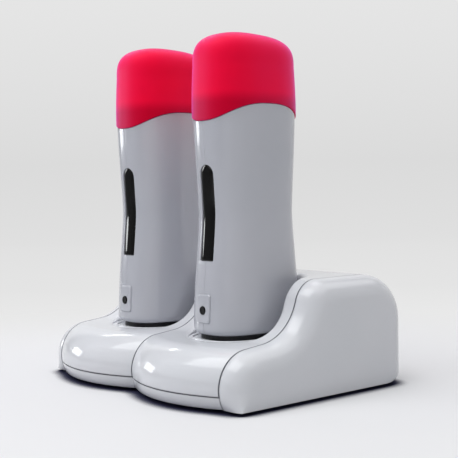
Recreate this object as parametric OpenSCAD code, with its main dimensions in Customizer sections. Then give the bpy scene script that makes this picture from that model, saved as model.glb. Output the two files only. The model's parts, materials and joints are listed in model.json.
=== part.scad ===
// Double wax warmer: two upright cartridge heaters standing on a base of two joined modules.
// X runs across the row of modules, the front with the level windows faces -Y, and Z is up.
// The origin is on the table, under the middle of the base.

/* [Base] */
// Width of one base module, seam to seam
module_w = 86; // [84:0.5:96]
// Depth of the base, from the bulged front to the rear
base_d = 158; // [154:0.5:170]
// Height of the rear block above the table
base_h = 71.4; // [68:0.2:76]
// Height of the low deck in front of the rear block
deck_h = 35.9; // [34:0.1:38]
// How far the front of a module bulges out between its seams
bulge = 11.25; // [6:0.25:13]
// Radius of the nose, seen from the side
nose_r = 21.75; // [19:0.25:23]
// How much lower the top of the nose is than the deck
nose_drop = 1.15; // [0.5:0.05:2]
// Depth position of the centre of the hollow between deck and rear block
hollow_y = -38; // [-40:0.5:-34]
// Radius of the hollow between deck and rear block
hollow_r = 32; // [29:0.5:33]
// Radius of the front shoulder of the rear block
shoulder_r = 17; // [15:0.5:19]
// Radius of the rear top edge
rear_r = 29.5; // [22:0.5:30]
// Radius of the rear bottom edge
heel_r = 7; // [4:0.5:7]
// Height of the seam between tray and deck
tray_h = 9.4; // [9.2:0.1:11]
// Width of the parting lines
seam_gap = 0.3; // [0.2:0.05:0.4]
// Wall of the base mouldings
base_wall = 2.2; // [1.8:0.1:2.6]
// Width of a side cheek
cheek_w = 14; // [13.8:0.1:18]
// Radius of the rounded edge of a cheek
cheek_r = 13.5; // [11:0.25:13.5]
// Share of that rounding that is lost at the lower front corner
cheek_tight = 0.8; // [0:0.05:0.85]

/* [Cradle] */
// Height of the seat that a warmer stands on
seat_h = 34.6; // [34:0.1:35.1]
// Half the width of the cradle, across the module
cradle_x = 33; // [32:0.2:36]
// Half the depth of the cradle
cradle_y = 38.5; // [38:0.25:41]
// Exponent of the superellipse that the cradle has in plan
cradle_power = 2.1; // [2:0.05:2.6]
// How far the middle of the cradle lies in front of the warmer
cradle_fore = 1; // [0.5:0.1:1.5]
// Height of the bead round the foot
bead_h = 0.8; // [0.4:0.1:1.2]
// Width of the bead round the foot
bead_w = 1; // [0.8:0.1:1.6]
// Gap between the bead and the outline of the warmer above it
bead_gap = 0.5; // [0.4:0.1:1]

/* [Warmer body] */
// Depth position of the warmers
hand_y = -7.5; // [-8.5:0.25:-6.5]
// Shift of a warmer from the middle of its module, towards the other warmer
hand_in = 0.8; // [0:0.1:1.2]
// Half the depth of the body at its foot
foot_half_y = 35.7; // [34.5:0.1:36.5]
// Half the depth of the body at its waist
waist_half_y = 30.5; // [30.4:0.1:32]
// Half the depth of the body under its cap
top_half_y = 33.8; // [33:0.1:35]
// Half the width of the body at its foot
foot_half_x = 24; // [23.5:0.1:25]
// Half the width of the body at its waist
waist_half_x = 22.8; // [22.6:0.1:23.5]
// Half the width of the body under its cap
top_half_x = 24; // [23.5:0.1:25]
// Height of the waist
waist_z = 112; // [106:1:118]
// Height at which the flare above the waist ends
flare_z = 185; // [180:1:190]
// Sharpness of the flare on both sides of the waist
flare_power = 1.4; // [1.2:0.05:1.8]
// Exponent of the superellipse that the body has in plan
plan_power = 2.6; // [2.3:0.05:3]
// Wall of the body mouldings
body_wall = 2; // [1.6:0.1:2.2]
// Height of the dark foot under the body mouldings
foot_show = 3; // [2.4:0.1:4.5]
// How far the dark foot stands back from the body
foot_inset = 4.2; // [2:0.1:4.5]
// Rounding of the lower edge of the body
toe_r = 4; // [3:0.25:4.5]

/* [Cap] */
// Height of the top of the cap
cap_top = 223; // [220:1:230]
// Height of the lower edge of the cap at the narrow sides
cap_low = 168.7; // [165:0.1:170]
// Rise of that edge at the middle of the broad sides
cap_wave = 10.2; // [8:0.1:12]
// Exponent of the curve of that rise
wave_power = 2.6; // [2:0.1:3]
// How far the cap stands out from the body
cap_proud = 0.65; // [0.4:0.05:1]
// Wall of the cap
cap_wall = 2.1; // [1.8:0.1:2.1]
// How much the sides of the cap draw in, up to the crown
cap_draft = 1; // [0.5:0.1:1.4]
// Height of the rounded crown
crown_h = 20; // [16:0.5:22]
// Exponent of the curve of the crown
crown_power = 3.1; // [2.6:0.1:3.6]
// How much the crown falls from its middle to the rear
crown_fall = 1.5; // [0:0.1:2]

/* [Window and button] */
// Width of the level window
window_w = 12.5; // [10:0.25:13]
// Height of the lower end of the window
window_low = 83; // [80:0.5:86]
// Height of the upper end of the window
window_high = 142; // [136:0.5:146]
// Width of the switch pad
pad_w = 12; // [11:0.25:13]
// Height of the lower edge of the pad
pad_low = 45; // [44.5:0.25:46]
// Height of the upper edge of the pad
pad_high = 63; // [61:0.5:65]
// How far the pad stands out from the body
pad_proud = 0.8; // [0.4:0.1:1.2]
// Thickness of the switch pad under the outline of the body
pad_t = 2; // [1.6:0.1:2.4]
// Thickness of the window lens
lens_t = 1.7; // [1.4:0.1:2]
// Thickness of the switch behind the button
switch_t = 3; // [2:0.25:4]
// Width of that switch
switch_w = 6.5; // [5:0.25:8]
// Height of the middle of the button
button_z = 53; // [52:0.25:54]
// Radius of the button
button_r = 2.6; // [2.2:0.1:2.8]
// How far the button stands out from the pad
button_proud = 0.6; // [0.3:0.1:1]
// Travel of the button
button_travel = 1; // [0.6:0.1:1.2]
// Radial clearance of sliding fits
slide_clear = 0.08; // [0.04:0.01:0.1]
// Clearance round trim pieces
trim_clear = 0.15; // [0.1:0.05:0.25]

/* [Heater] */
// Inside depth of the cartridge well
well_y = 51.5; // [48:0.5:51.5]
// Inside width of the cartridge well
well_x = 29.5; // [27:0.5:29.5]
// Wall of the well
well_wall = 1.2; // [1:0.1:1.3]
// Height of the underside of the well
well_low = 74; // [72:0.5:78]
// Height of the rim of the well
well_high = 188; // [186:0.5:192]
// Corner radius inside the well
well_r = 9; // [6:0.5:11]
// Thickness of a heating plate
plate_t = 2.6; // [2:0.1:2.8]
// Length of a heating plate
plate_h = 62; // [50:1:70]
// Width of a heating plate
plate_w = 28; // [22:1:28]
// Height of the lower end of a heating plate above the underside of the well
plate_up = 8; // [6:0.5:12]
// Width of the rim of the well, outside its wall
rim_out = 2.5; // [1.5:0.1:2.5]
// Thickness of that rim
rim_t = 2; // [1.5:0.1:2.4]
// Width of the slot in the well behind the window
sight_w = 7; // [5:0.5:9]
// Height of the lower edge of the collar
collar_low = 172; // [165:0.5:174]
// Radius of the thermostat
disc_r = 7; // [5:0.25:8]
// Thickness of the thermostat
disc_t = 5; // [4:0.25:6]
// Radius of a lead inside a warmer
lead_r = 0.8; // [0.6:0.1:0.9]

/* [Foot of a warmer] */
// Place of a screw boss, across the warmer
foot_boss_x = 11; // [10.5:0.25:12]
// Place of a screw boss, along the warmer
foot_boss_y = 20; // [18:0.5:21]
// Radius of a screw boss in the body
foot_boss_r = 3; // [2.8:0.1:3.2]
// Height of a screw boss in the body
foot_boss_h = 12; // [10:0.5:14]
// Height of the neck of the foot, inside the body
neck_h = 6; // [5:0.25:7]
// Clearance round that neck
neck_gap = 0.6; // [0.3:0.05:0.9]

/* [Contacts] */
// Radius of a dock pin
pin_r = 2; // [1.6:0.1:2.2]
// How far a dock pin stands up from the seat
pin_up = 6; // [4:0.5:7]
// Distance between the two dock pins of a seat
pin_pitch = 16; // [14:0.5:18]
// Wall of a contact sleeve
sleeve_t = 1; // [0.8:0.1:1.2]
// Length of a contact sleeve
sleeve_h = 12; // [10:0.5:14]
// Height of its lower end above the seat
sleeve_up = 1; // [0.6:0.1:1.4]
// Width of a dock block
dock_w = 28; // [24:0.5:30]
// Depth of a dock block
dock_d = 18; // [14:0.5:20]
// Height of a dock block
dock_h = 12; // [10:0.5:13]
// Length of a dock pin below its block
pin_tail = 4; // [3:0.25:5]

/* [Mains inlet] */
// Width of the inlet body
inlet_w = 24; // [22:0.5:26]
// Height of the inlet body
inlet_h = 17; // [15:0.5:18]
// Depth of the inlet body
inlet_d = 20; // [18:0.5:22]
// Height of the middle of the inlet
inlet_z = 30; // [26:0.5:32]
// Distance between the two inlet pins
inlet_pitch = 8.6; // [8.4:0.1:9]
// Radius of the two lobes of the socket
lobe_r = 4.3; // [4.2:0.05:4.5]
// Depth of the socket
socket_d = 13; // [12:0.5:14]
// Radius of an inlet pin
inlet_pin_r = 1.2; // [1.1:0.05:1.25]
// Length of an inlet pin behind the inlet body
pin_out = 4; // [3:0.25:5]
// How far an inlet pin ends behind the mouth of its socket
pin_back = 3; // [2:0.25:4]

/* [Junction board] */
// Width of the board
board_w = 40; // [34:1:44]
// Depth of the board
board_d = 28; // [26:0.5:30]
// Thickness of a circuit board
board_t = 1.6; // [1:0.1:2]
// Distance of the board from the rear of the base
board_back = 21; // [20:0.5:23]
// Height of the posts under the board
board_post = 5; // [4:0.25:6]
// Radius of those posts
post_r = 2.5; // [2:0.1:3]
// Width of the terminal block
block_w = 30; // [26:1:32]
// Depth of the terminal block
block_d = 8; // [7:0.25:9]
// Height of the terminal block
block_h = 8; // [6:0.25:9]
// Radius of the fuse
fuse_r = 3; // [2.4:0.1:3.2]
// Length of the fuse
fuse_l = 20; // [18:0.5:22]
// Radius of a wire in the base
wire_r = 1.1; // [0.8:0.05:1.2]
// Straight length with which a wire leaves its terminal
wire_stub = 2; // [1.5:0.1:2.5]

/* [Feet and fasteners] */
// Height of the gap between base and table
foot_h = 2; // [1.5:0.1:2.5]
// Radius of a rubber foot
pad_r = 7; // [5:0.5:8]
// Depth of the recess that a rubber foot sits in
pad_sink = 1; // [0.6:0.1:1.2]
// Radius of a screw shank
screw_r = 1.5; // [1.2:0.1:1.6]
// Radius of a screw head
head_r = 2.8; // [2.4:0.1:3]
// Thickness of a screw head
head_t = 2; // [1.6:0.1:2.2]
// Radius of a screw boss
boss_r = 3.6; // [3.2:0.1:4]
// Clearance round a screw
screw_clear = 0.2; // [0.1:0.05:0.3]
// Height of the screw bosses inside a deck
boss_h = 16; // [14:0.5:18]
// Solid end of a screw boss, past its hole
boss_end = 4; // [3:0.25:5]
// Length of a tray screw above the floor of its tray
bite_h = 8; // [6:0.5:10]
// How much shorter a tie screw is than a cheek is wide
tie_short = 3; // [2.6:0.1:4]

/* [Hidden] */
$fn = 48;
half_gap = seam_gap / 2;
front_y = -base_d / 2 + bulge;
rear_y = base_d / 2;
hand_x = module_w / 2 - hand_in;
nose_y = front_y + nose_r;
nose_z = deck_h - nose_drop - nose_r;
hollow_z = deck_h + hollow_r;
shoulder_z = base_h - shoulder_r;
join_a = -asin((hollow_z - shoulder_z) / (hollow_r + shoulder_r));
shoulder_y = hollow_y + (hollow_r + shoulder_r) * cos(join_a);
// Depth of the point of a lower edge that the end faces are drawn from
fan_y = -20;
deck_low = tray_h + seam_gap;
tray_floor = foot_h + base_wall;
shell_low = seat_h + foot_show;
stations = 12;
side_steps = 20;
plan_steps = 64;
white = [0.93, 0.93, 0.94];
pearl = [0.78, 0.79, 0.82];
red = [0.84, 0.06, 0.2];
black = [0.05, 0.05, 0.06];
steel = [0.75, 0.76, 0.78];
brass = [0.8, 0.62, 0.3];

// Points on an arc, from angle a to angle b
function arc(c, r, a, b, steps, first = 0) =
    [for (i = [first:steps]) let (t = a + (b - a) * i / steps) c + r * [cos(t), sin(t)]];

// Forward shift of the front at the place x of a module, which runs from 0 to module_w
function sag(x) = bulge * (1 - pow(2 * x / module_w - 1, 2));

// Upper part of the side outline, drawn in by d and with the nose moved forward by s
function upper_outline(s, d, low_a) =
    let (nose_c = [nose_y - s, nose_z], hollow_c = [hollow_y, hollow_z],
        span = hollow_c - nose_c,
        top_a = atan2(span[1], span[0]) + acos((nose_r + hollow_r) / norm(span)))
    concat(
        arc(nose_c, nose_r - d, 180 + low_a, top_a, 9),
        arc(hollow_c, hollow_r + d, top_a - 180, join_a, 9),
        arc([shoulder_y, shoulder_z], shoulder_r - d, 180 + join_a, 90, 6, 1),
        arc([rear_y - rear_r, base_h - rear_r], rear_r - d, 90, 0, 7));

// Side outline down to the level low, with a square heel. It ends at a point of the lower
// edge from which all of the outline can be seen.
function deck_outline(s, d, low) =
    let (top = upper_outline(s, d, asin((nose_z - low) / (nose_r - d))))
    concat(top, [[rear_y - d, low], [fan_y, low]]);

// Side outline of a tray or cheek above the level low, with a heel of radius r. The inset of
// the front of a cheek is its wall and a round d, and the round gets tight towards the table.
function heel(d, r, low) = arc([rear_y - d - r, low + r], r, 0, -90, 5);
function cheek_front(z, d, wall) =
    nose_y + wall + d * (1 - cheek_tight * pow((nose_z - z) / (nose_z - foot_h), 1.5))
        - sqrt(pow(nose_r, 2) - pow(nose_z - z, 2));
function cheek_outline(d, wall, r, low) = concat(
    [for (i = [0:3]) let (z = low + (nose_z - low) * i / 4) [cheek_front(z, d, wall), z]],
    upper_outline(0, d + wall, 0), heel(d + wall, r, low), [[fan_y, low]]);
function tray_outline(s, d, low, high) =
    let (nose_c = [nose_y - s, nose_z], a = asin((nose_z - high) / (nose_r - d)),
        b = asin((nose_z - low) / (nose_r - d)))
    concat(arc(nose_c, nose_r - d, 180 + b, 180 + a, 4), [[rear_y - d, high]],
        heel(d, heel_r - d, low));

// Ring of points in the plane x, from an outline in Y and Z, turned to face +X
function at_x(x, outline) =
    [for (i = [len(outline) - 1:-1:0]) [x, outline[i][0], outline[i][1]]];

// Solid through a list of rings with equal numbers of points, closed by fans at their first
module loft(rings) {
    n = len(rings[0]);
    k = len(rings);
    last = (k - 1) * n;
    polyhedron(
        points = [for (r = rings) each r],
        faces = concat(
            [for (i = [0:k - 2]) for (j = [0:n - 1]) let (m = (j + 1) % n)
                [i * n + j, (i + 1) * n + j, (i + 1) * n + m]],
            [for (i = [0:k - 2]) for (j = [0:n - 1]) let (m = (j + 1) % n)
                [i * n + j, (i + 1) * n + m, i * n + m]],
            [for (j = [1:n - 2]) [0, j, j + 1]],
            [for (j = [1:n - 2]) [last, last + j + 1, last + j]]));
}

// Solid through C-shaped rings, each an outer run of m points and an inner run back
module shell_loft(rings) {
    n = len(rings[0]);
    k = len(rings);
    last = (k - 1) * n;
    polyhedron(
        points = [for (r = rings) each r],
        faces = concat(
            [for (i = [0:k - 2]) for (j = [0:n - 1]) let (m = (j + 1) % n)
                [i * n + j, (i + 1) * n + j, (i + 1) * n + m]],
            [for (i = [0:k - 2]) for (j = [0:n - 1]) let (m = (j + 1) % n)
                [i * n + j, (i + 1) * n + m, i * n + m]],
            [for (j = [0:n / 2 - 2]) [j, j + 1, n - 1 - j]],
            [for (j = [0:n / 2 - 2]) [j + 1, n - 2 - j, n - 1 - j]],
            [for (j = [0:n / 2 - 2]) [last + j, last + n - 1 - j, last + j + 1]],
            [for (j = [0:n / 2 - 2]) [last + j + 1, last + n - 1 - j, last + n - 2 - j]]));
}

// Point at the angle t of a superellipse with half widths a along X and b along Y
function plan_point(a, b, t, p = plan_power) =
    pow(pow(abs(cos(t)) / a, p) + pow(abs(sin(t)) / b, p), -1 / p) * [cos(t), sin(t)];
module plan(a, b, p = plan_power) {
    polygon([for (i = [0:plan_steps - 1]) plan_point(a, b, i * 360 / plan_steps, p)]);
}
module rounded(w, h, r) {
    square([w - 2 * r, h], center = true);
    square([w, h - 2 * r], center = true);
    for (x = [-1, 1], y = [-1, 1])
        translate([x * (w / 2 - r), y * (h / 2 - r)]) circle(r);
}
module rod_x(r, h) {
    rotate([0, 90, 0]) cylinder(r = r, h = h);
}
module rod_y(r, h) {
    rotate([-90, 0, 0]) cylinder(r = r, h = h);
}

// Base mouldings, drawn for the right module
module deck_solid(d) {
    edge = half_gap + d;
    low = d > 0 ? deck_low - 1 : deck_low;
    loft([for (i = [0:stations])
        let (x = edge + (module_w - 2 * edge) * i / stations)
        at_x(x, deck_outline(sag(x), d, low))]);
}
module tray_solid(d, low, high) {
    edge = half_gap + d;
    loft([for (i = [0:stations])
        let (x = edge + (module_w - 2 * edge) * i / stations)
        at_x(x, tray_outline(sag(x), d, low, high))]);
}
module cradle_outline(extra) {
    translate([module_w / 2, hand_y - cradle_fore])
        plan(cradle_x + extra, cradle_y + extra, cradle_power);
}

// Places of the upright bosses that the tray is screwed to
boss_in = half_gap + base_wall + boss_r - 0.4;
boss_spots = [for (x = [boss_in, module_w - boss_in], y = [front_y + 16, rear_y - 14]) [x, y]];
// Places of the screws that join modules and cheeks, in depth and height
tie_spots = [[front_y + 30, 15], [rear_y - 24, 18], [rear_y - 26, base_h - 18]];
// Notch for the wiring in the walls between the modules
notch_y = rear_y - 42;
notch_z = 17;
notch_r = 5;

module deck() {
    difference() {
        deck_solid(0);
        difference() {
            deck_solid(base_wall);
            translate([0, 0, seat_h - base_wall])
                linear_extrude(base_h) cradle_outline(base_wall);
            for (p = boss_spots)
                translate([p[0], p[1], 0]) cylinder(r = boss_r, h = tray_floor + boss_h);
        }
        translate([0, 0, seat_h]) linear_extrude(base_h) cradle_outline(0);
        for (p = boss_spots)
            translate([p[0], p[1], 0]) cylinder(r = screw_r, h = tray_floor + boss_h - boss_end);
        for (x = [-1, module_w - base_wall - 1], t = tie_spots)
            translate([x, t[0], t[1]]) rod_x(screw_r + screw_clear, base_wall + 2);
        for (s = [-1, 1])
            translate([hand_x + s * pin_pitch / 2, hand_y, seat_h - base_wall - 1])
                cylinder(r = pin_r + screw_clear, h = base_wall + 2);
    }
    translate([hand_x, hand_y, seat_h]) linear_extrude(bead_h) difference() {
        plan(foot_half_x + bead_gap + bead_w, foot_half_y + bead_gap + bead_w);
        plan(foot_half_x + bead_gap, foot_half_y + bead_gap);
    }
}
module wiring_notch() {
    translate([half_gap - 1, notch_y, notch_z]) rod_x(notch_r, base_wall + 2);
}
module inlet_cut() {
    translate([hand_x - inlet_w / 2 - trim_clear, rear_y - base_wall - 1,
        inlet_z - inlet_h / 2 - trim_clear])
        cube([inlet_w + 2 * trim_clear, base_wall + 2, inlet_h + 2 * trim_clear]);
}
module tray() {
    difference() {
        tray_solid(0, foot_h, tray_h);
        difference() {
            tray_solid(base_wall, tray_floor, tray_h + 1);
            for (p = boss_spots)
                translate([p[0], p[1], 0]) cylinder(r = boss_r + 1, h = deck_low - seam_gap);
        }
        for (p = boss_spots) {
            translate([p[0], p[1], 0])
                cylinder(r = screw_r + screw_clear, h = tray_h + 1);
            translate([p[0], p[1], 0]) cylinder(r = head_r + screw_clear, h = foot_h + head_t);
        }
        for (p = feet_spots)
            translate([p[0], p[1], 0]) cylinder(r = pad_r, h = foot_h + pad_sink);
    }
}
// Places of the rubber feet of one module
feet_spots = [for (x = [20, module_w - 20], y = [front_y + 18, rear_y - 18]) [x, y]];

module cheek() {
    turn = [for (i = [0:7]) i * 90 / 7];
    join = module_w + half_gap;
    outer = module_w + cheek_w;
    inner_r = cheek_r - base_wall;
    inner_heel = heel_r - base_wall;
    difference() {
        loft(concat([at_x(join, cheek_outline(0, 0, heel_r, foot_h))],
            [for (t = turn) at_x(outer - cheek_r * (1 - sin(t)),
                cheek_outline(cheek_r * (1 - cos(t)), 0, heel_r, foot_h))]));
        difference() {
            loft(concat([at_x(join - 1, cheek_outline(0, base_wall, inner_heel, tray_floor))],
                [for (t = turn) at_x(outer - cheek_r + inner_r * sin(t),
                    cheek_outline(inner_r * (1 - cos(t)), base_wall, inner_heel, tray_floor))]));
            for (t = tie_spots)
                translate([join, t[0], t[1]]) rod_x(boss_r, cheek_w);
        }
        for (t = tie_spots)
            translate([join - 1, t[0], t[1]]) rod_x(screw_r, cheek_w - base_wall - 1);
    }
}
module screw(length) {
    cylinder(r = screw_r, h = length);
    translate([0, 0, -head_t]) cylinder(r = head_r, h = head_t);
}
module both() {
    children();
    mirror([1, 0, 0]) children();
}

// Body of a warmer, drawn round its own upright axis
function flare(z) =
    let (u = z < waist_z ? (waist_z - z) / (waist_z - shell_low)
        : (z - waist_z) / (flare_z - waist_z))
    pow(sin(90 * min(max(u, 0), 1)), flare_power);
function body_y(z) = waist_half_y + ((z < waist_z ? foot_half_y : top_half_y) - waist_half_y) * flare(z);
function body_x(z) = waist_half_x + ((z < waist_z ? foot_half_x : top_half_x) - waist_half_x) * flare(z);
function body_point(z, grow, t) =
    let (p = plan_point(body_x(z) + grow, body_y(z) + grow, t)) [p[0], p[1], z];

// Height of the wavy parting line under the cap, at the plan angle t
function wave(t) =
    let (u = min(abs(plan_point(top_half_x, top_half_y, t)[1]) / top_half_y, 1))
    cap_low + cap_wave * (1 - pow(u, wave_power));

module body_loft(grow, heights) {
    loft([for (z = heights)
        [for (i = [0:2 * side_steps - 1]) body_point(z, grow, i * 180 / side_steps)]]);
}

// Half of the body, on the side of +X
module half_shell() {
    heights = [for (i = [0:12]) i / 12];
    base = shell_low + toe_r;
    run = [for (i = [0:side_steps]) -90 + i * 180 / side_steps];
    back = [for (i = [side_steps:-1:0]) -90 + i * 180 / side_steps];
    toe = [0, 30, 60];
    edge = half_gap / 2;
    function clip(p) = [max(p[0], edge), p[1], p[2]];
    inner_r = toe_r - body_wall;
    shell_loft(concat(
        [for (a = toe) concat(
            [for (t = run) clip(body_point(base - toe_r * cos(a), -toe_r * (1 - sin(a)), t))],
            [for (t = back) clip(body_point(base - inner_r * cos(a),
                -body_wall - inner_r * (1 - sin(a)), t))])],
        [for (h = heights) concat(
            [for (t = run) clip(body_point(base + (wave(t) - seam_gap - base) * h, 0, t))],
            [for (t = back) clip(body_point(base + (wave(t) - seam_gap - base) * h,
                -body_wall, t))])]));
}

// Openings of the front of the body
module window_prism(less) {
    w = window_w - 2 * less;
    translate([0, 0, window_low + less]) rotate([90, 0, 0]) linear_extrude(foot_half_y + 2) {
        translate([-w / 2, 0]) square([w, window_high - window_low - window_w / 2 - less]);
        translate([0, window_high - window_low - window_w / 2 - less]) circle(w / 2);
    }
}
module pad_prism(less) {
    w = pad_w - 2 * less;
    h = pad_high - pad_low - 2 * less;
    translate([0, 0, (pad_low + pad_high) / 2]) rotate([90, 0, 0])
        linear_extrude(foot_half_y + 2) rounded(w, h, 2);
}
// Curved plate under the outline of the front, from grow outside to depth inside
module front_patch(half_w, low, high, grow, depth) {
    steps = 8;
    xs = [for (i = [0:steps]) -half_w + 2 * half_w * i / steps];
    function front(x, z, g) =
        -(body_y(z) + g) * pow(1 - pow(abs(x) / (body_x(z) + g), plan_power), 1 / plan_power);
    shell_loft([for (i = [0:steps]) let (z = low + (high - low) * i / steps) concat(
        [for (x = xs) [x, front(x, z, grow), z]],
        [for (k = [steps:-1:0]) [xs[k], front(xs[k], z, -depth), z]])]);
}

// Bosses in the shell halves that the foot is screwed to
foot_boss = [foot_boss_x, foot_boss_y];
foot_top = shell_low + neck_h;
rib_t = body_wall;
module bodied_shell() {
    difference() {
        union() {
            half_shell();
            for (s = [-1, 1]) translate([foot_boss[0], s * foot_boss[1], foot_top]) {
                cylinder(r = foot_boss_r, h = foot_boss_h);
                translate([0, -rib_t / 2, 0])
                    cube([body_x(foot_top) * 0.93 - foot_boss[0] - body_wall, rib_t, foot_boss_h]);
            }
        }
        window_prism(0);
        pad_prism(0);
        for (s = [-1, 1]) translate([foot_boss[0], s * foot_boss[1], foot_top - 1])
            cylinder(r = screw_r, h = foot_boss_h);
    }
}
module outer_half() {
    bodied_shell();
}
module inner_half() {
    mirror([1, 0, 0]) bodied_shell();
}

// Foot with its neck inside the toe of the body
module foot() {
    difference() {
        union() {
            translate([0, 0, seat_h]) linear_extrude(foot_show - seam_gap)
                plan(foot_half_x - foot_inset, foot_half_y - foot_inset);
            translate([0, 0, seat_h]) linear_extrude(foot_top - seat_h - seam_gap)
                plan(foot_half_x - toe_r - neck_gap, foot_half_y - toe_r - neck_gap);
        }
        for (s = [-1, 1]) translate([s * pin_pitch / 2, 0, seat_h - 1])
            cylinder(r = pin_r + slide_clear + sleeve_t, h = foot_top);
        for (x = [-1, 1], y = [-1, 1])
            translate([x * foot_boss[0], y * foot_boss[1], 0]) {
                cylinder(r = screw_r + screw_clear, h = foot_top + 1);
                cylinder(r = head_r + screw_clear, h = seat_h + head_t + 1);
            }
    }
}
module foot_screws() {
    for (x = [-1, 1], y = [-1, 1])
        translate([x * foot_boss[0], y * foot_boss[1], seat_h + head_t + 1])
            screw(foot_top - seat_h - head_t - 1 + foot_boss_h - 3);
}
module sleeves() {
    for (s = [-1, 1]) translate([s * pin_pitch / 2, 0, seat_h + sleeve_up]) difference() {
        cylinder(r = pin_r + slide_clear + sleeve_t, h = sleeve_h);
        translate([0, 0, -1]) cylinder(r = pin_r + slide_clear, h = pin_up + 2);
    }
}

// Ring that holds the halves together and carries the well
well_out_x = well_x + 2 * well_wall;
well_out_y = well_y + 2 * well_wall;
module collar() {
    difference() {
        body_loft(-body_wall - trim_clear,
            [for (i = [0:3]) collar_low + (well_high - rim_t - collar_low) * i / 3]);
        translate([0, 0, collar_low - 1]) linear_extrude(well_high)
            rounded(well_out_x + 2 * trim_clear, well_out_y + 2 * trim_clear, well_r + well_wall);
    }
}
module well() {
    difference() {
        union() {
            translate([0, 0, well_low]) linear_extrude(well_high - well_low)
                rounded(well_out_x, well_out_y, well_r + well_wall);
            translate([0, 0, well_high - rim_t]) linear_extrude(rim_t)
                rounded(well_out_x + 2 * rim_out, well_out_y + 2 * rim_out,
                    well_r + well_wall + rim_out);
        }
        translate([0, 0, well_low + well_wall]) linear_extrude(well_high)
            rounded(well_x, well_y, well_r);
        translate([-sight_w / 2, -well_out_y, window_low + 4])
            cube([sight_w, well_out_y, window_high - window_low - 12]);
    }
}

module heater() {
    for (s = [-1, 1])
        translate([s * (well_out_x / 2 + plate_t / 2), 0, well_low + plate_up + plate_h / 2])
            cube([plate_t, plate_w, plate_h], center = true);
}
module thermostat() {
    tab = disc_r + 1;
    translate([0, tab / 2, well_low - disc_t]) cylinder(r = disc_r, h = disc_t);
    translate([-tab / 2, 0, well_low - disc_t - tab / 3]) cube([tab, tab, tab / 3]);
}

// Round wire through a list of points, with eight sides
function ring_at(p, dir, r) =
    let (u = dir / norm(dir), side = abs(u[0]) < 0.9 ? [1, 0, 0] : [0, 1, 0],
        a = cross(u, side) / norm(cross(u, side)), b = cross(u, a))
    [for (k = [0:7]) p + r * (cos(45 * k) * a + sin(45 * k) * b)];
module wire(path, r) {
    k = len(path) - 1;
    loft([for (i = [0:k]) ring_at(path[i], path[min(i + 1, k)] - path[max(i - 1, 0)], r)]);
}
// Two leads that run from the contact sleeves up to the heating plates
module leads() {
    top = seat_h + sleeve_up + sleeve_h;
    x = well_out_x / 2 + plate_t / 2;
    rise = well_low - top;
    for (s = [-1, 1])
        wire([[s * pin_pitch / 2, 0, top], [s * pin_pitch / 2, 0, top + 0.3 * rise],
            [s * (pin_pitch / 2 + 0.2 * (x - pin_pitch / 2)), 1, top + 0.5 * rise],
            [s * (x - lead_r), 3, top + 0.75 * rise],
            [s * x, 3.5, top + rise], [s * x, 3.5, well_low + plate_up]], lead_r);
}

// Front trim: window lens, switch pad, its board and button
module window() {
    intersection() {
        front_patch(window_w / 2 + 1, window_low - 1, window_high + 1, -0.3, lens_t + 0.3);
        window_prism(trim_clear);
    }
}
module switch_pad() {
    difference() {
        intersection() {
            front_patch(pad_w / 2 + 1, pad_low - 1, pad_high + 1, pad_proud, pad_t);
            pad_prism(trim_clear);
        }
        translate([0, -foot_half_y - 5, button_z])
            rod_y(button_r + slide_clear, 20);
    }
}
button_face = -(body_y(button_z) + pad_proud + button_proud);
flange_y = -(body_y(button_z) - pad_t) + 0.5;
button_back = flange_y + 1.2;
switch_y = button_back + button_travel + switch_t + 0.4;
module button() {
    translate([0, button_face, button_z]) rod_y(button_r, button_back - button_face);
    translate([0, flange_y, button_z]) rod_y(button_r + 1, button_back - flange_y);
}
module switch_board() {
    translate([-switch_w, switch_y, foot_top]) cube([2 * switch_w, board_t, 20]);
    translate([-switch_w / 2, switch_y - switch_t, button_z - switch_w / 2])
        cube([switch_w, switch_t, switch_w]);
}

// Cap: the skirt follows the wavy line and the crown is a superellipse
crown_z = cap_top - crown_h;
function cap_grow(z) =
    cap_proud - cap_draft * pow(max(z - cap_low, 0) / (crown_z - cap_low), 2);
function skirt_point(h, less, t) =
    let (z = wave(t) + (crown_z - wave(t)) * h) body_point(z, cap_grow(z) - less, t);
function crown_point(a, less, t) =
    let (s = pow(cos(a), 2 / crown_power), rise = pow(sin(a), 2 / crown_power),
        p = s * plan_point(body_x(crown_z) + cap_grow(crown_z) - less,
            body_y(crown_z) + cap_grow(crown_z) - less, t))
    [p[0], p[1], crown_z + (crown_h - less - crown_fall * p[1] / top_half_y) * rise];
module cap() {
    turn = [for (i = [0:2 * side_steps - 1]) i * 180 / side_steps];
    crown = [12, 26, 42, 58, 72, 82, 88];
    loft(concat(
        [for (i = [6:-1:0]) [for (t = turn) crown_point(crown[i], cap_wall, t)]],
        [for (h = [1, 0.5, 0]) [for (t = turn) skirt_point(h, cap_wall, t)]],
        [for (h = [0, 0.3, 0.7, 1]) [for (t = turn) skirt_point(h, 0, t)]],
        [for (i = [0:6]) [for (t = turn) crown_point(crown[i], 0, t)]]));
}

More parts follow.
